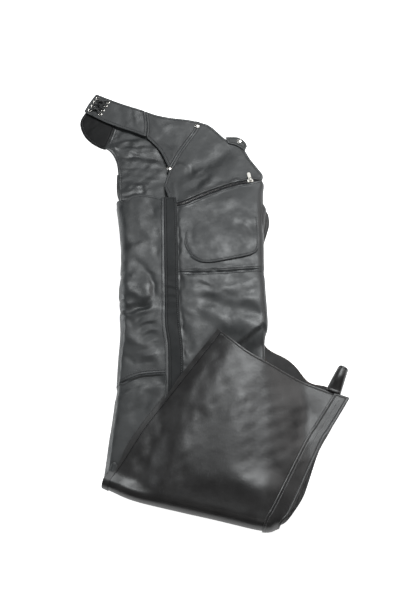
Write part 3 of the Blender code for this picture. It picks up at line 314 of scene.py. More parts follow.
# what shapes a pile of leather: its creases, how strongly they show, its steps, the rise in millimetres
# and the length of its long and its short waves, and the first of their two seeds
Pile = namedtuple("Pile", "creases gain steps long_rise long_length short_rise short_length seed")
PILES = {
    "leg": Pile(LEG_CREASES, 0.38, LEG_STEPS, 0.13, 48 * MM, 0.05, 19 * MM, 3),
    "under": Pile(UNDER_CREASES, 0.6, [], 0.14, 26 * MM, 0.06, 12 * MM, 5),
    "flap": Pile(FLAP_CREASES, 1.0, FLAP_STEPS, 0.14, 80 * MM, 0.02, 24 * MM, 7),
}
FLOOR_RISE = 0.1 * MM
FLOOR_WAVES = 22 * MM
FLOOR_SEED = 9
# the leg's creases weaken towards the waist, and the flap's towards the floor
WAIST_END = 0.432
WAIST_FADE = 0.03
FLAP_FADE = 14 * MM

# the pouch's upper edge, into which it sinks
POUCH_TOP = Crease(-30, 182, 106, 237, 0, 0, 0)

OUTER_SEAM = 4.6
STITCH_PITCH = 4.3 * MM
STITCH_HALF = (1.5 * MM, 0.46 * MM, 0.36 * MM)
STITCH_LIFT = 0.05 * MM
DROP_HEIGHT = 0.09
STEEPEST = 0.2


def plan(x, y):
    """Place in the frame of a place on the plan."""
    return Vector((x * MM + PLAN.x, y * MM + PLAN.y))


def smooth(values):
    """0 up to 0, 1 from 1, and an even curve between."""
    values = np.clip(values, 0.0, 1.0)
    return values * values * (3 - 2 * values)


def along_line(row, xs, ys):
    """Share of the way along a row's line, and signed distance to its left, for many places."""
    start = plan(row.x1, row.y1)
    line = plan(row.x2, row.y2) - start
    share = ((xs - start.x) * line.x + (ys - start.y) * line.y) / line.length_squared
    side = ((ys - start.y) * line.x - (xs - start.x) * line.y) / line.length
    return share, side


def wandering(xs, ys):
    """Sideways shift that keeps creases and steps from being ruled lines."""
    return 1.4 * MM * np.sin(xs * 190 + ys * 83) + 0.9 * MM * np.sin(ys * 260 - xs * 120 + 1.7)


def bowed(row, share):
    """How far a row's line bows to its left, at shares of the way along it."""
    return row.bow * MM * 4 * share * (1 - share)


def crease_heights(rows, xs, ys):
    """Height that the creases add at many places."""
    wander = wandering(xs, ys)
    total = np.zeros_like(xs)
    for row in rows:
        share, side = along_line(row, xs, ys)
        side = side + wander - bowed(row, share)
        ends = smooth((share + 0.2) / 0.4) * smooth((1.2 - share) / 0.4)
        total += row.rise * MM * np.exp(-(side / (row.width * MM)) ** 2) * ends
    return total


def step_heights(rows, xs, ys):
    """Height that the steps take away at many places."""
    wander = wandering(xs, ys)
    total = np.zeros_like(xs)
    for row in rows:
        share, side = along_line(row, xs, ys)
        side = side + 0.4 * wander - bowed(row, share)
        ends = smooth((share + 0.06) / 0.12) * smooth((1.06 - share) / 0.12)
        past = smooth((side / (row.width * MM) + 1) / 2)
        near = 1 - smooth((side / MM - row.reach * 0.6) / (row.reach * 0.4))
        total += row.drop * MM * past * near * ends
    return total


def soft_waves(xs, ys, length, seed, count=14):
    """Gentle unevenness of a length, from a few seeded waves that cross each other."""
    source = np.random.default_rng(seed)
    total = np.zeros_like(xs)
    for _ in range(count):
        angle = source.uniform(0, math.tau)
        size = math.tau / (length * source.uniform(0.7, 1.6))
        phase = source.uniform(0, math.tau)
        total += np.sin((xs * math.cos(angle) + ys * math.sin(angle)) * size + phase)
    return total / math.sqrt(count)


def pushed(who, pile, places):
    """Places after the pushes that name the piece or its pile."""
    moved = places.copy()
    for row in PUSHES:
        if row.who in (who, pile):
            middle = plan(row.x, row.y)
            away = (places[:, 0] - middle.x) ** 2 + (places[:, 1] - middle.y) ** 2
            share = np.exp(-away / (row.radius * MM) ** 2)
            moved += share[:, None] * np.array([row.dx, row.dy, row.dz]) * MM
    return moved


def pouch_sink(xs, ys, rim):
    """How far the pouch sinks into the thigh, so that only its lower and right edges stand proud."""
    _, side = along_line(POUCH_TOP, xs, ys)
    across = xs - PLAN.x
    up = ys - PLAN.y
    near_top = np.clip(1 + (side + 14 * MM) / (130 * MM), 0, 1)
    left = smooth((up - 100 * MM) / (80 * MM)) * smooth((70 * MM - across) / (110 * MM))
    return -3.4 * MM * smooth(rim / 18) - 5.0 * MM * np.maximum(near_top, left)


def away_from_middle(places):
    """Way out of the pile at many places: up on top, sideways round the folded edges."""
    left = LEG_LEFT + PLAN.x + LEG_ROUNDING
    right = LEG_RIGHT + PLAN.x - LEG_ROUNDING
    beyond = places[:, 0] - np.clip(places[:, 0], left, right)
    beyond *= smooth((LEG_TOP - places[:, 1]) / LEG_TOP_FADE)
    height = np.maximum(places[:, 2] - LEG_MIDDLE_HEIGHT, 2 * MM)
    way = np.stack([beyond, np.zeros_like(beyond), height], axis=1)
    way[np.abs(beyond) < 1e-6, 0] = 0
    return way / np.linalg.norm(way, axis=1, keepdims=True)


def read_places(mesh):
    """Places of a mesh's vertices, a row each."""
    places = np.empty(len(mesh.vertices) * 3)
    mesh.vertices.foreach_get("co", places)
    return places.reshape(-1, 3)


def pile_heights(pile, places):
    """Creases and unevenness of one pile of leather, which all its layers share."""
    xs, ys = places[:, 0], places[:, 1]
    if pile == "floor":
        return FLOOR_RISE * soft_waves(xs, ys, FLOOR_WAVES, FLOOR_SEED)
    row = PILES[pile]
    heights = row.gain * crease_heights(row.creases, xs, ys) + step_heights(row.steps, xs, ys)
    long_waves = row.long_rise * soft_waves(xs, ys, row.long_length, row.seed)
    short_waves = row.short_rise * soft_waves(xs, ys, row.short_length, row.seed + 1)
    heights += MM * (long_waves + short_waves)
    if pile == "leg":
        heights *= smooth((WAIST_END - ys) / WAIST_FADE) * 0.5 + 0.5
    elif pile == "under":
        heights = np.maximum(heights, -places[:, 2] * 0.6)
    else:
        heights *= smooth(places[:, 2] / FLAP_FADE)
    return heights


def border_points(bm):
    """Places along the sharp rim of a wall, a millimetre or so apart."""
    found = []
    for edge in bm.edges:
        if len(edge.link_faces) == 2 and edge.calc_face_angle(0) > SHARP_ANGLE:
            a, b = (vert.co for vert in edge.verts)
            steps = max(1, int((b - a).length / RIM_STEP))
            found += [a.lerp(b, step / steps) for step in range(steps + 1)]
    return found


def link(piece, finish):
    """Adds a piece of the garment to the scene and finish."""
    bpy.context.collection.objects.link(piece)
    piece.data.materials.clear()
    piece.data.materials.append(finishes(finish))
    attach(piece, GARMENT)
    return piece


def applied_subdivision(bm, name, level):
    """The mesh once subdivided, as a new mesh."""
    mesh = bpy.data.meshes.new(name)
    bm.to_mesh(mesh)
    piece = bpy.data.objects.new(name, mesh)
    bpy.context.collection.objects.link(piece)
    rounding = piece.modifiers.new("rounding", "SUBSURF")
    rounding.levels = level
    rounding.render_levels = level
    graph = bpy.context.evaluated_depsgraph_get()
    made = bpy.data.meshes.new_from_object(piece.evaluated_get(graph))
    bpy.data.objects.remove(piece)
    bpy.data.meshes.remove(mesh)
    return made


def swelling(mesh, amount):
    """Sideways move that closes the seam gaps: walls go out, faces stay."""
    normals = np.empty(len(mesh.vertices) * 3)
    mesh.vertices.foreach_get("normal", normals)
    normals = normals.reshape(-1, 3)
    normals[:, 2] = 0
    return normals * smooth((np.linalg.norm(normals, axis=1) - 0.5) / 0.3)[:, None] * amount


def shape_shell(node, pile, level, firmness=PLAIN_FIRMNESS):
    """Leather on its solid's form: the node's wall, refined, creased and given its rim distance."""
    bm = bmesh.new()
    bm.from_mesh(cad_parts[node].data)
    bmesh.ops.remove_doubles(bm, verts=bm.verts[:], dist=TOUCHING)
    bmesh.ops.join_triangles(bm, faces=bm.faces[:], angle_face_threshold=SHARP_ANGLE,
                             angle_shape_threshold=ANY_ANGLE)
    rim = border_points(bm)
    crease = bm.edges.layers.float.new("crease_edge")
    for edge in bm.edges:
        if len(edge.link_faces) == 2 and edge.calc_face_angle(0) > SHARP_ANGLE:
            edge[crease] = firmness
    mesh = applied_subdivision(bm, node, level - 1)
    bm.free()
    places = read_places(mesh)
    places = places + swelling(mesh, SWELL[pile])
    heights = pile_heights(pile, places)
    rim_away = rim_distances(rim, places)
    if node == "pocket_pouch":
        heights += pouch_sink(places[:, 0], places[:, 1], rim_away)
    way = away_from_middle(places) if pile in ("leg", "under") else np.array([[0.0, 0.0, 1.0]])
    places = pushed(node, pile, places + way * heights[:, None])
    places[:, 2] = np.maximum(places[:, 2], 0.0)
    mesh.vertices.foreach_set("co", places.ravel())
    mesh.attributes.new("rim", "FLOAT", "POINT").data.foreach_set("value", rim_away)
    mesh.shade_smooth()
    return mesh


def rim_distances(rim, places):
    """Distance of each place from the rim, in millimetres."""
    tree = kdtree.KDTree(len(rim))
    for index, place in enumerate(rim):
        tree.insert(place, index)
    tree.balance()
    return np.array([tree.find(place)[2] for place in places.tolist()]) / MM


def make_shell(row):
    """One leather piece in place of its solid."""
    mesh = shape_shell(row.node, row.pile, row.level, FIRMNESS[row.pile])
    piece = bpy.data.objects.new("leather_" + row.node, mesh)
    link(piece, row.finish)
    last = piece.modifiers.new("softness", "SUBSURF")
    last.levels = 1
    last.render_levels = 1
    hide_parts(row.node)
    return piece


# finishes
class Value:
    """A node's output, which can be used in a sum."""

    def __init__(self, paint, socket):
        self.paint = paint
        self.socket = socket

    def math(self, operation, *others):
        inputs = dict(enumerate((self,) + others))
        return self.paint.node("ShaderNodeMath", {"operation": operation}, inputs)

    def __add__(self, other):
        return self.math("ADD", other)

    def __mul__(self, other):
        return self.math("MULTIPLY", other)

    def __sub__(self, other):
        return self.math("SUBTRACT", other)

    def __rsub__(self, other):
        return self.paint.node("ShaderNodeMath", {"operation": "SUBTRACT"}, {0: other, 1: self})

    def __truediv__(self, other):
        return self.math("DIVIDE", other)

    def between(self, low, high):
        """0 below low, 1 above high, smooth between."""
        settings = {"interpolation_type": "SMOOTHSTEP"}
        return self.paint.node("ShaderNodeMapRange", settings, {0: self, 1: low, 2: high})

    def line(self, at, width):
        """1 on a line at one value, fading to 0 a width away."""
        return 1 - (self - at).math("ABSOLUTE").between(0.0, width)


class Paint:
    """One material and its nodes."""

    def __init__(self, name):
        self.material = bpy.data.materials.new(name)
        self.material.use_nodes = True
        self.tree = self.material.node_tree
        self.shader = self.tree.nodes["Principled BSDF"]

    def node(self, kind, settings=None, inputs=None, output=0):
        made = self.tree.nodes.new(kind)
        for key, value in (settings or {}).items():
            setattr(made, key, value)
        for key, value in (inputs or {}).items():
            self.put(made.inputs[key], value)
        return Value(self, made.outputs[output])

    def put(self, socket, value):
        if isinstance(value, Value):
            self.tree.links.new(value.socket, socket)
        else:
            socket.default_value = value

    def object_places(self):
        return self.node("ShaderNodeTexCoord", output="Object")

    def stretched(self, places, scale, turn=0.0):
        inputs = {"Vector": places, "Rotation": (0, 0, turn), "Scale": scale}
        return self.node("ShaderNodeMapping", {}, inputs)

    def noise(self, places, size, detail=2.0, roughness=0.5):
        inputs = {"Vector": places, "Scale": 1 / size, "Detail": detail, "Roughness": roughness}
        return self.node("ShaderNodeTexNoise", {}, inputs)

    def cells(self, places, size, feature="F1"):
        inputs = {"Vector": places, "Scale": 1 / size}
        return self.node("ShaderNodeTexVoronoi", {"feature": feature}, inputs)

    def attribute(self, name):
        return self.node("ShaderNodeAttribute", {"attribute_name": name}, output="Fac")

    def mix(self, share, first, second):
        """Colour between two, through the Mix node's colour sockets."""
        return self.node("ShaderNodeMix", {"data_type": "RGBA"}, {0: share, 6: first, 7: second}, 2)

    def bump(self, height):
        return self.node("ShaderNodeBump", {}, {"Height": height, "Distance": 1.0, "Strength": 1.0})

    def set(self, **values):
        for key, value in values.items():
            self.put(self.shader.inputs[key.replace("_", " ")], value)
        return self.material


def colour4(colour, factor=1.0):
    """A colour times a factor, with its alpha."""
    return (colour[0] * factor, colour[1] * factor, colour[2] * factor, 1.0)


SCUFF_COLOUR = (0.075, 0.08, 0.085)
FIBRE_COLOUR = (0.11, 0.065, 0.05)


def leather(name, colour, roughness, cloud, grain, seam=True, scuffs=0.0, layers=False, raw=False,
            shine=0.5):
    """Grained cowhide: uneven dye, pebbles, clouded polish, a stitched groove darkened by painted shade, a
    rim lightened in patches by a painted highlight, and, for stacked layers, painted shade in the gaps
    between them.
    """
    paint = Paint(name)
    places = paint.object_places()
    dye = paint.noise(places, 60 * MM, 3.0)
    patch = paint.noise(places, 14 * MM, 3.0, 0.6)
    pebbles = paint.cells(places, grain, "SMOOTH_F1")
    pores = paint.noise(places, grain * 0.45, 2.0, 0.6)
    polish = paint.noise(places, 30 * MM, 4.0, 0.6)
    height = pebbles * (0.045 * MM) + pores * (0.02 * MM)
    height = height + paint.noise(places, 8 * MM, 3.0, 0.55) * (0.12 * MM)
    shade = paint.mix(dye.between(0.35, 0.65), colour4(colour, 0.86), colour4(colour, 1.16))
    shade = paint.mix(patch.between(0.5, 0.8) * 0.35, shade, colour4(colour, 1.5))
    gloss = (polish.between(0.3, 0.7) - 0.5) * cloud + roughness
    if seam:
        rim = paint.attribute("rim")
        groove = rim.line(OUTER_SEAM, 1.1)
        lip = rim.line(1.6, 2.6)
        height = height - groove * (0.3 * MM) + lip * (0.2 * MM)
        # painted highlight: the rim, within about 1.8 mm, is lightened in patches
        rim_highlight = (1 - rim.between(0.4, 1.8)) * patch.between(0.3, 0.6)
        shade = paint.mix(rim_highlight * 0.5, shade, colour4(colour, 3.6))
        # painted shade: the stitched groove is darkened in colour as well as sunk
        shade = paint.mix(groove * 0.5, shade, colour4(colour, 0.5))
        gloss = gloss + groove * 0.12
    if scuffs:
        streaks = paint.stretched(places, (1.0, 0.22, 1.0), math.radians(-24))
        marks = paint.noise(streaks, 2.6 * MM, 3.0, 0.7).between(0.56, 0.72)
        area = paint.noise(places, 90 * MM, 1.0).between(0.46, 0.62)
        marks = marks * area * scuffs
        shade = paint.mix(marks * 0.5, shade, colour4(SCUFF_COLOUR))
        gloss = gloss + marks * 0.15
        height = height + marks * (0.03 * MM)
    if layers:
        up = paint.node("ShaderNodeSeparateXYZ", {}, {0: places}, output=2)
        bands = (up / (2.6 * MM) + polish * 0.5).math("FRACT")
        gap = bands.line(0.5, 0.3)
        height = height - gap * (0.7 * MM)
        # painted shade: the gaps between the stacked layers are darkened
        shade = paint.mix(gap * 0.7, shade, colour4(colour, 0.3))
    if raw:
        fuzz = paint.noise(places, 0.9 * MM, 4.0, 0.8)
        edge = (1 - paint.attribute("rim").between(0.4, 2.2)) * fuzz.between(0.3, 0.6)
        shade = paint.mix(edge * 0.8, shade, colour4(FIBRE_COLOUR))
        height = height + fuzz * (0.12 * MM)
    bumps = paint.bump(height)
    return paint.set(Base_Color=shade, Roughness=gloss, Normal=bumps, Specular_IOR_Level=shine)


def nickel(name, dull, metal):
    """Worn plating, with fine scratches."""
    paint = Paint(name)
    places = paint.object_places()
    wear = paint.noise(places, 3 * MM, 4.0, 0.65)
    scratches = paint.noise(paint.stretched(places, (1, 6, 1), 0.6), 0.8 * MM, 2.0)
    shade = paint.mix(wear.between(0.5, 0.75), (0.70, 0.68, 0.64, 1), (0.42, 0.38, 0.32, 1))
    gloss = wear.between(0.4, 0.8) * 0.14 + dull + scratches * 0.08
    bumps = paint.bump(scratches * (0.01 * MM))
    return paint.set(Base_Color=shade, Roughness=gloss, Metallic=metal, Normal=bumps)


def dark_metal(name):
    """Blackened metal of the zip's teeth, rubbed brighter in places."""
    paint = Paint(name)
    rub = paint.noise(paint.object_places(), 2 * MM, 3.0)
    shade = paint.mix(rub.between(0.45, 0.7), (0.05, 0.05, 0.052, 1), (0.2, 0.19, 0.18, 1))
    return paint.set(Base_Color=shade, Roughness=rub * 0.3 + 0.3, Metallic=1.0)


def woven_tape(name):
    """Dull woven tape, its threads along and across the zip."""
    paint = Paint(name)
    places = paint.stretched(paint.object_places(), (1, 1, 1), math.radians(20))
    bands = {"Vector": places, "Scale": 1 / (3.2 * MM), "Distortion": 0.4}
    weave = paint.node("ShaderNodeTexWave", {"wave_type": "BANDS", "bands_direction": "X"}, bands)
    across = paint.node("ShaderNodeTexWave", {"wave_type": "BANDS", "bands_direction": "Y"}, bands, 1)
    fuzz = paint.noise(places, 0.7 * MM, 3.0)
    height = weave.math("ADD", across) * (0.06 * MM) + fuzz * (0.04 * MM)
    shade = paint.mix(fuzz, (0.010, 0.010, 0.011, 1), (0.028, 0.028, 0.030, 1))
    return paint.set(Base_Color=shade, Roughness=0.85, Normal=paint.bump(height), Specular_IOR_Level=0.12)


def thread(name):
    """Twisted black sewing thread."""
    paint = Paint(name)
    twist = paint.noise(paint.object_places(), 0.5 * MM, 2.0)
    shade = paint.mix(twist, (0.030, 0.030, 0.032, 1), (0.075, 0.075, 0.08, 1))
    return paint.set(Base_Color=shade, Roughness=0.6, Normal=paint.bump(twist * (0.05 * MM)))


def floor_paint(name, colour):
    """Pale floor with light of its own, so that it has no dark corner."""
    paint = Paint(name)
    mottle = paint.noise(paint.object_places(), 0.4, 2.0)
    shade = paint.mix(mottle, colour4(colour, 0.99), colour4(colour))
    paint.set(Emission_Color=shade, Emission_Strength=1.0)
    return paint.set(Base_Color=shade, Roughness=0.9)


def finishes(name):
    """The named finish, made when it is first asked for."""
    found = bpy.data.materials.get(name)
    if found:
        return found
    looks = bpy.context.scene.chaps_looks
    outer = tuple(looks.leather)
    calf = tuple(looks.calf)
    lining = tuple(looks.lining)
    matt = looks.roughness
    grain = looks.grain
    leathers = {
        "outer": (outer, matt, 0.22, grain, {}),
        "piping": (outer, matt - 0.06, 0.12, grain, {"seam": False}),
        "placket": (colour4(outer, 0.8)[:3], matt + 0.04, 0.12, grain, {"shine": 0.14}),
        "calf": (calf, matt - 0.1, 0.08, grain, {"scuffs": 0.35, "shine": 0.6}),
        "binding": (calf, matt - 0.06, 0.12, grain, {"seam": False}),
        "raw": (calf, 0.7, 0.1, grain, {"seam": False, "raw": True}),
        "inner": (outer, 0.42, 0.2, grain * 1.2, {}),
        "lining": (lining, 0.45, 0.2, grain * 1.2, {"shine": 0.12}),
        "layers": (lining, 0.5, 0.1, grain, {"seam": False, "layers": True}),
        "lace": (lining, 0.5, 0.1, grain * 0.6, {"seam": False}),
    }
    if name in leathers:
        *values, extras = leathers[name]
        return leather(name, *values, **extras)
    others = {
        "nickel": (nickel, 0.42, 0.8),
        "pull": (nickel, 0.5, 0.65),
        "teeth": (dark_metal,),
        "tape": (woven_tape,),
        "thread": (thread,),
        "floor": (floor_paint, tuple(looks.floor)),
    }
    make, *values = others[name]
    return make(name, *values)


# sewing: the piece that a row of stitches is on, its line, and how far to the line's left each row is
Seam = namedtuple("Seam", "shell points offsets")
SEAMS = [
    Seam("waistband_back", [(-209, 465), (-160, 442), (-110, 423)], (-4.6,)),
    Seam("waistband_back", [(-231, 421), (-188, 395), (-158, 381), (-137, 373), (-106, 358)], (4.6,)),
    Seam("waistband_back", [(-209, 465), (-221, 444), (-231, 421)], (4.6,)),
    Seam("waistband_back", [(-110, 423), (-105, 390), (-106, 358)], (-4.6,)),
    Seam("hip_yoke", [(-110, 423), (-88, 413), (-58, 406), (-17, 400), (-2, 394)], (-4.6,)),
    Seam("hip_yoke", [(-106, 358), (-90, 341), (-75, 319), (-66, 296), (-58, 276)], (4.6,)),
    Seam("front_panel", [(-2, 394), (-6, 380), (-38, 323), (-52, 290), (-58, 276)], (4.6,)),
    Seam("front_panel", [(-2, 394), (15, 389), (33, 372), (45, 357), (60, 345), (76, 337)], (-4.6,)),
    Seam("front_panel", [(76, 337), (88, 322), (96, 303), (112, 276)], (-4.6,)),
    Seam("front_panel", [(-58, 276), (-67, 244), (-68, 222), (-57, 208)], (4.6,)),
    Seam("front_panel", [(-50, 194), (-33, 195), (9, 218), (45, 236), (76, 247), (105, 252)], (2.4,)),
    Seam("thigh_front", [(-50, 182), (-33, 183), (9, 206), (45, 224), (76, 235), (100, 240)], (-3.0,)),
    Seam("thigh_front", [(-50, 39), (-37, 39), (24, 39), (102, 45)], (4.6, 9.0)),
    Seam("knee_front", [(-50, 39), (-37, 39), (24, 39), (102, 45)], (-4.6,)),
    Seam("pocket_pouch", [(-30, 182), (-31, 128), (-29, 94), (-16, 68)], (3.4, 7.6)),
    Seam("pocket_pouch", [(-16, 68), (8, 56), (56, 64), (103, 75)], (3.4, 7.6)),
    Seam("pocket_pouch", [(106, 237), (107, 160), (107, 96), (103, 75)], (-3.4,)),
    Seam("back_thigh", [(-147, 202), (-123, 210), (-97, 210), (-74, 203)], (-4.6,)),
    Seam("back_thigh", [(-129, -174), (-105, -161), (-62, -157)], (4.6, 8.6)),
    Seam("side_placket", [(-44, 203), (-40, 90), (-37, -16), (-34, -67), (-29, -114), (-28, -180)],
         (-3.6,)),
    Seam("under_waistband", [(-224, 428), (-238, 403), (-236, 385), (-227, 363), (-213, 347), (-198, 337)],
         (4.6,)),
    Seam("under_hip", [(-176, 352), (-168, 330), (-160, 300), (-155, 262), (-153, 230)], (5.0,)),
    Seam("calf_placket", [(232, -197), (182, -274), (143, -339), (97, -423)], (4.6,)),
    Seam("calf_placket", [(255, -195), (216, -257), (206, -271), (172, -340), (143, -398)], (-4.0,)),
]


def curve_points(points, steps_each=10):
    """Smooth curve through plan points, in metres in the frame."""
    places = [plan(x, y) for x, y in points]
    fine = []
    for index in range(len(places) - 1):
        p0 = places[max(index - 1, 0)]
        p1 = places[index]
        p2 = places[index + 1]
        p3 = places[min(index + 2, len(places) - 1)]
        for step in range(steps_each):
            t = step / steps_each
            fine.append(0.5 * (2 * p1 + (p2 - p0) * t + (2 * p0 - 5 * p1 + 4 * p2 - p3) * t * t
                               + (3 * p1 - p0 - 3 * p2 + p3) * t ** 3))
    fine.append(places[-1])
    return fine


def shifted(points, amount):
    """The same curve, moved to its left by an amount in millimetres."""
    moved = []
    for index, place in enumerate(points):
        way = points[min(index + 1, len(points) - 1)] - points[max(index - 1, 0)]
        way.normalize()
        moved.append(place + Vector((-way.y, way.x)) * amount * MM)
    return moved


def spaced(points, pitch):
    """Places a pitch apart along a curve, each with the way along it."""
    found = []
    left = pitch / 2
    for a, b in zip(points, points[1:]):
        length = (b - a).length
        while left <= length:
            found.append((a.lerp(b, left / length), (b - a).normalized()))
            left += pitch
        left -= length
    return found


def surface_of(piece):
    """A tree of the finished surface, for laying things on it."""
    graph = bpy.context.evaluated_depsgraph_get()
    return BVHTree.FromObject(piece, graph)


def drop_on(tree, place):
    """Where a place drops on a surface, and the way that it faces there."""
    hit, normal, _, _ = tree.ray_cast(Vector((place.x, place.y, DROP_HEIGHT)), Vector((0, 0, -1)))
    return hit, normal


def along_surface(way, normal):
    """A way on the plan, laid along a surface."""
    way = way.to_3d()
    return (way - normal * way.dot(normal)).normalized()


def stitch_frames():
    """Where each stitch lies: its middle, and its long, side and up directions."""
    trees = {}
    found = []
    for seam in SEAMS:
        if seam.shell not in trees:
            trees[seam.shell] = surface_of(bpy.data.objects["leather_" + seam.shell])
        line = curve_points(seam.points)
        places = [spot for offset in seam.offsets for spot in spaced(shifted(line, offset), STITCH_PITCH)]
        for place, way in places:
            hit, normal = drop_on(trees[seam.shell], place)
            if hit is None or normal.z < STEEPEST:
                continue
            along = along_surface(way, normal)
            found.append((hit + normal * STITCH_LIFT, along, normal.cross(along), normal))
    return np.array([[list(vector) for vector in row] for row in found])


def make_stitches():
    """One bead of thread, repeated along every seam."""
    bm = bmesh.new()
    bmesh.ops.create_uvsphere(bm, u_segments=6, v_segments=4, radius=1.0)
    size = Matrix.Diagonal((*STITCH_HALF, 1))
    bmesh.ops.transform(bm, matrix=size, verts=bm.verts[:])
    bead = np.array([list(vert.co) for vert in bm.verts])
    faces = [[vert.index for vert in face.verts] for face in bm.faces]
    bm.free()
    rows = stitch_frames()
    turned = np.einsum("vk,nkj->nvj", bead, rows[:, 1:4])
    places = (turned + rows[:, None, 0]).reshape(-1, 3)
    starts = range(0, len(places), len(bead))
    corners = [[start + corner for corner in face] for start in starts for face in faces]
    mesh = bpy.data.meshes.new("seam_stitches")
    mesh.from_pydata(places.tolist(), [], corners)
    mesh.shade_smooth()
    link(bpy.data.objects.new("seam_stitches", mesh), "thread")


# hardware: profiles as (radius, height) in millimetres, and the zip's teeth
SNAP_PROFILE = [(0, 0), (4.6, 0), (4.8, 0.4), (4.6, 0.9), (4.1, 1.1), (3.9, 1.0), (3.6, 1.45), (2.8, 1.85),
                (1.5, 2.05), (0, 2.1)]
EYELET_PROFILE = [(2.1, -0.6), (2.15, 0.4), (2.4, 1.15), (3.0, 1.5), (3.6, 1.3), (4.05, 0.7), (4.2, 0.05),
                  (3.9, -0.1), (2.6, -0.1)]
TOOTH = Matrix.Diagonal((1.0 * MM, 2.8 * MM, 1.0 * MM, 1))
TOOTH_PITCH = 1.5 * MM
TOOTH_SIDE = 0.9 * MM
TOOTH_LIFT = 0.35 * MM
TOOTH_BEVEL = 0.22 * MM
ZIP_LINE = [(-50, 188), (-33, 189), (9, 212), (45, 230), (76, 241), (105, 246)]


def spun(profile, segments=24):
    """Round solid turned from (radius, height) points, in millimetres."""
    bm = bmesh.new()
    verts = [bm.verts.new((radius * MM, 0, height * MM)) for radius, height in profile]
    edges = [bm.edges.new(pair) for pair in zip(verts, verts[1:])]
    if profile[0][0] > 0:
        edges.append(bm.edges.new((verts[-1], verts[0])))
    bmesh.ops.spin(bm, geom=edges, cent=(0, 0, 0), axis=(0, 0, 1), dvec=(0, 0, 0), angle=math.tau,
                   steps=segments, use_merge=True, use_duplicate=False)
    bmesh.ops.remove_doubles(bm, verts=bm.verts[:], dist=TOUCHING)
    bmesh.ops.recalc_face_normals(bm, faces=bm.faces[:])
    return bm


def round_place(node):
    """Middle of a round node's foot and the way it faces."""
    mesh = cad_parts[node].data
    places = read_places(mesh)
    middle = places.mean(axis=0)
    _, _, axes = np.linalg.svd(places - middle)
    way = Vector(axes[2])
    if way.z < 0:
        way = -way
    heights = (places - middle) @ np.array(way)
    foot = Vector(middle) + way * float(heights.min())
    return foot, way


def make_round(node, profile, name, segments=24):
    """A round fitting in place of its solid, facing the same way."""
    foot, way = round_place(node)
    bm = spun(profile, segments)
    turn = way.to_track_quat("Z", "Y").to_matrix().to_4x4()
    bmesh.ops.transform(bm, matrix=Matrix.Translation(foot) @ turn, verts=bm.verts[:])
    mesh = bpy.data.meshes.new(name)
    bm.to_mesh(mesh)
    bm.free()
    mesh.shade_smooth()
    piece = link(bpy.data.objects.new(name, mesh), "nickel")
    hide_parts(node)


def make_lace(node):
    """A round leather lace along its solid, smoothed."""
    mesh = shape_shell(node, "floor", LACE_LEVEL)
    piece = link(bpy.data.objects.new("leather_" + node, mesh), "lace")
    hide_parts(node)


def make_zip():
    """The pocket zip's tape, with its teeth along the middle."""
    make_shell(ZIP_TAPE)
    tape = surface_of(bpy.data.objects["leather_" + ZIP_TAPE.node])
    bm = bmesh.new()
    for index, (place, way) in enumerate(spaced(curve_points(ZIP_LINE), TOOTH_PITCH)):
        hit, normal = drop_on(tape, place)
        if hit is None:
            continue
        along = along_surface(way, normal)
        turn = Matrix((along, normal.cross(along), normal)).transposed().to_4x4()
        side = TOOTH_SIDE if index % 2 else -TOOTH_SIDE
        where = Matrix.Translation(hit + normal * TOOTH_LIFT) @ turn @ Matrix.Translation((0, side, 0))
        made = bmesh.ops.create_cube(bm, size=1.0, matrix=where @ TOOTH)
        edges = list({edge for vert in made["verts"] for edge in vert.link_edges})
        bmesh.ops.bevel(bm, geom=edges, offset=TOOTH_BEVEL, segments=1, profile=0.5, affect="EDGES",
                        material=-1)
    mesh = bpy.data.meshes.new("zip_teeth")
    bm.to_mesh(mesh)
    bm.free()
    link(bpy.data.objects.new("zip_teeth", mesh), "teeth")


# stage
def make_stage(looks):
    """Floor, even sky, softboxes and camera."""
    bpy.context.scene.view_settings.view_transform = "Standard"
    bm = bmesh.new()
    bmesh.ops.create_grid(bm, x_segments=1, y_segments=1, size=FLOOR_REACH)
    bmesh.ops.translate(bm, vec=(0, 0, -FLOOR_DROP), verts=bm.verts[:])
    mesh = bpy.data.meshes.new("floor")
    bm.to_mesh(mesh)
    bm.free()
    floor = bpy.data.objects.new("floor", mesh)
    mesh.materials.append(finishes("floor"))
    bpy.context.collection.objects.link(floor)

    world = bpy.data.worlds.new("studio")
    world.use_nodes = True
    sky = world.node_tree.nodes["Background"]
    sky.inputs["Color"].default_value = (1, 1, 1, 1)
    sky.inputs["Strength"].default_value = looks.sky
    bpy.context.scene.world = world

    for name, place, size, power, colour in LIGHTS:
        lamp = bpy.data.lights.new(name, "AREA")
        lamp.shape = "RECTANGLE"
        lamp.size, lamp.size_y = size
        lamp.energy = power
        lamp.color = colour
        holder = bpy.data.objects.new(name, lamp)
        holder.location = place
        way = PLAN - Vector(place)
        holder.rotation_euler = way.to_track_quat("-Z", "Y").to_euler()
        bpy.context.collection.objects.link(holder)

    camera = bpy.data.objects.new("camera", bpy.data.cameras.new("camera"))
    camera.data.lens = CAMERA_LENS
    camera.data.sensor_width = CAMERA_SENSOR
    back = Vector((0, -math.cos(CAMERA_ELEVATION), math.sin(CAMERA_ELEVATION)))
    camera.location = PLAN + back * CAMERA_DISTANCE
    camera.rotation_euler = (-back).to_track_quat("-Z", "Y").to_euler()
    bpy.context.collection.objects.link(camera)
    bpy.context.scene.camera = camera


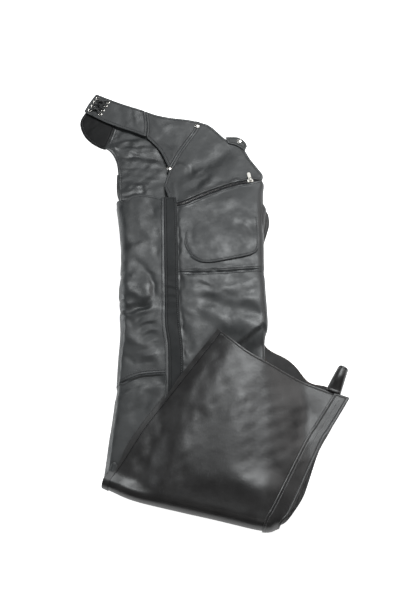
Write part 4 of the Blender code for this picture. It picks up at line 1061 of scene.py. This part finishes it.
# add-on
class ChapsLooks(bpy.types.PropertyGroup):
    leather: bpy.props.FloatVectorProperty(
        name="Leather", description="Dye of the outer leather", subtype="COLOR", size=3, min=0, max=1,
        default=(0.018, 0.0194, 0.0202))
    calf: bpy.props.FloatVectorProperty(
        name="Calf leather", description="Dye of the folded calf", subtype="COLOR", size=3, min=0, max=1,
        default=(0.0105, 0.0098, 0.0099))
    lining: bpy.props.FloatVectorProperty(
        name="Inner face", description="Colour of the leather's inner face", subtype="COLOR", size=3,
        min=0, max=1, default=(0.007, 0.007, 0.0073))
    floor: bpy.props.FloatVectorProperty(
        name="Floor", description="Colour of the floor", subtype="COLOR", size=3, min=0, max=1,
        default=(0.93, 0.93, 0.93))
    grain: bpy.props.FloatProperty(
        name="Grain", description="Size of one pebble of the grain", unit="LENGTH", default=1.1 * MM,
        min=0.2 * MM, max=5 * MM)
    roughness: bpy.props.FloatProperty(
        name="Roughness", description="How matt the outer leather is", subtype="FACTOR", default=0.46,
        min=0, max=1)
    sky: bpy.props.FloatProperty(
        name="Sky", description="Strength of the even studio light", default=0.12, min=0, max=5)


class CHAPS_OT_shells(bpy.types.Operator):
    """Dress every cut piece in creased leather"""
    bl_idname = "chaps.shells"
    bl_label = "Leather pieces"

    def execute(self, context):
        for row in SHELLS:
            make_shell(row)
        return {"FINISHED"}


class CHAPS_OT_cores(bpy.types.Operator):
    """Dress the hidden layers, whose edges show"""
    bl_idname = "chaps.cores"
    bl_label = "Hidden layers"

    def execute(self, context):
        for node, pile in CORES:
            mesh = shape_shell(node, pile, CORE_LEVEL)
            piece = link(bpy.data.objects.new("layers_" + node, mesh), "layers")
            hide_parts(node)
        return {"FINISHED"}


class CHAPS_OT_sewing(bpy.types.Operator):
    """Sew the rows of stitches"""
    bl_idname = "chaps.sewing"
    bl_label = "Stitches"

    def execute(self, context):
        make_stitches()
        return {"FINISHED"}


class CHAPS_OT_zip(bpy.types.Operator):
    """Make the pocket zip's tape and teeth, and finish its slider and tab"""
    bl_idname = "chaps.zip"
    bl_label = "Pocket zip"

    def execute(self, context):
        make_zip()
        for node in ("pocket_slider", "pull_tab"):
            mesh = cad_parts[node].data
            mesh.materials.clear()
            mesh.materials.append(finishes("pull"))
        return {"FINISHED"}


class CHAPS_OT_fastenings(bpy.types.Operator):
    """Make the snaps, the eyelets and the laces"""
    bl_idname = "chaps.fastenings"
    bl_label = "Fastenings"

    def execute(self, context):
        for index in (1, 2, 3):
            make_round(f"snap_{index}", SNAP_PROFILE, f"snap_cap_{index}", 32)
        for side in ("left", "right"):
            for index in (1, 2, 3, 4):
                make_round(f"eyelet_{side}_{index}", EYELET_PROFILE, f"eyelet_ring_{side}_{index}")
        make_lace("lace_over")
        make_lace("lace_under")
        return {"FINISHED"}


class CHAPS_OT_stage(bpy.types.Operator):
    """Set up the floor, the soft light and the camera"""
    bl_idname = "chaps.stage"
    bl_label = "Stage"

    def execute(self, context):
        make_stage(context.scene.chaps_looks)
        return {"FINISHED"}


class CHAPS_PT_panel(bpy.types.Panel):
    bl_label = "Chaps"
    bl_idname = "CHAPS_PT_panel"
    bl_space_type = "VIEW_3D"
    bl_region_type = "UI"
    bl_category = "Chaps"

    def draw(self, context):
        for operator in OPERATORS:
            self.layout.operator(operator.bl_idname)
        for name in ChapsLooks.__annotations__:
            self.layout.prop(context.scene.chaps_looks, name)


OPERATORS = (CHAPS_OT_stage, CHAPS_OT_cores, CHAPS_OT_shells, CHAPS_OT_zip, CHAPS_OT_fastenings,
             CHAPS_OT_sewing)
CLASSES = (ChapsLooks,) + OPERATORS + (CHAPS_PT_panel,)


def register():
    for item in CLASSES:
        bpy.utils.register_class(item)
    bpy.types.Scene.chaps_looks = bpy.props.PointerProperty(type=ChapsLooks)


def unregister():
    del bpy.types.Scene.chaps_looks
    for item in reversed(CLASSES):
        bpy.utils.unregister_class(item)


def main():
    register()
    bpy.ops.chaps.stage()
    bpy.ops.chaps.cores()
    bpy.ops.chaps.shells()
    bpy.ops.chaps.zip()
    bpy.ops.chaps.fastenings()
    bpy.ops.chaps.sewing()


if __name__ == "__main__":
    main()
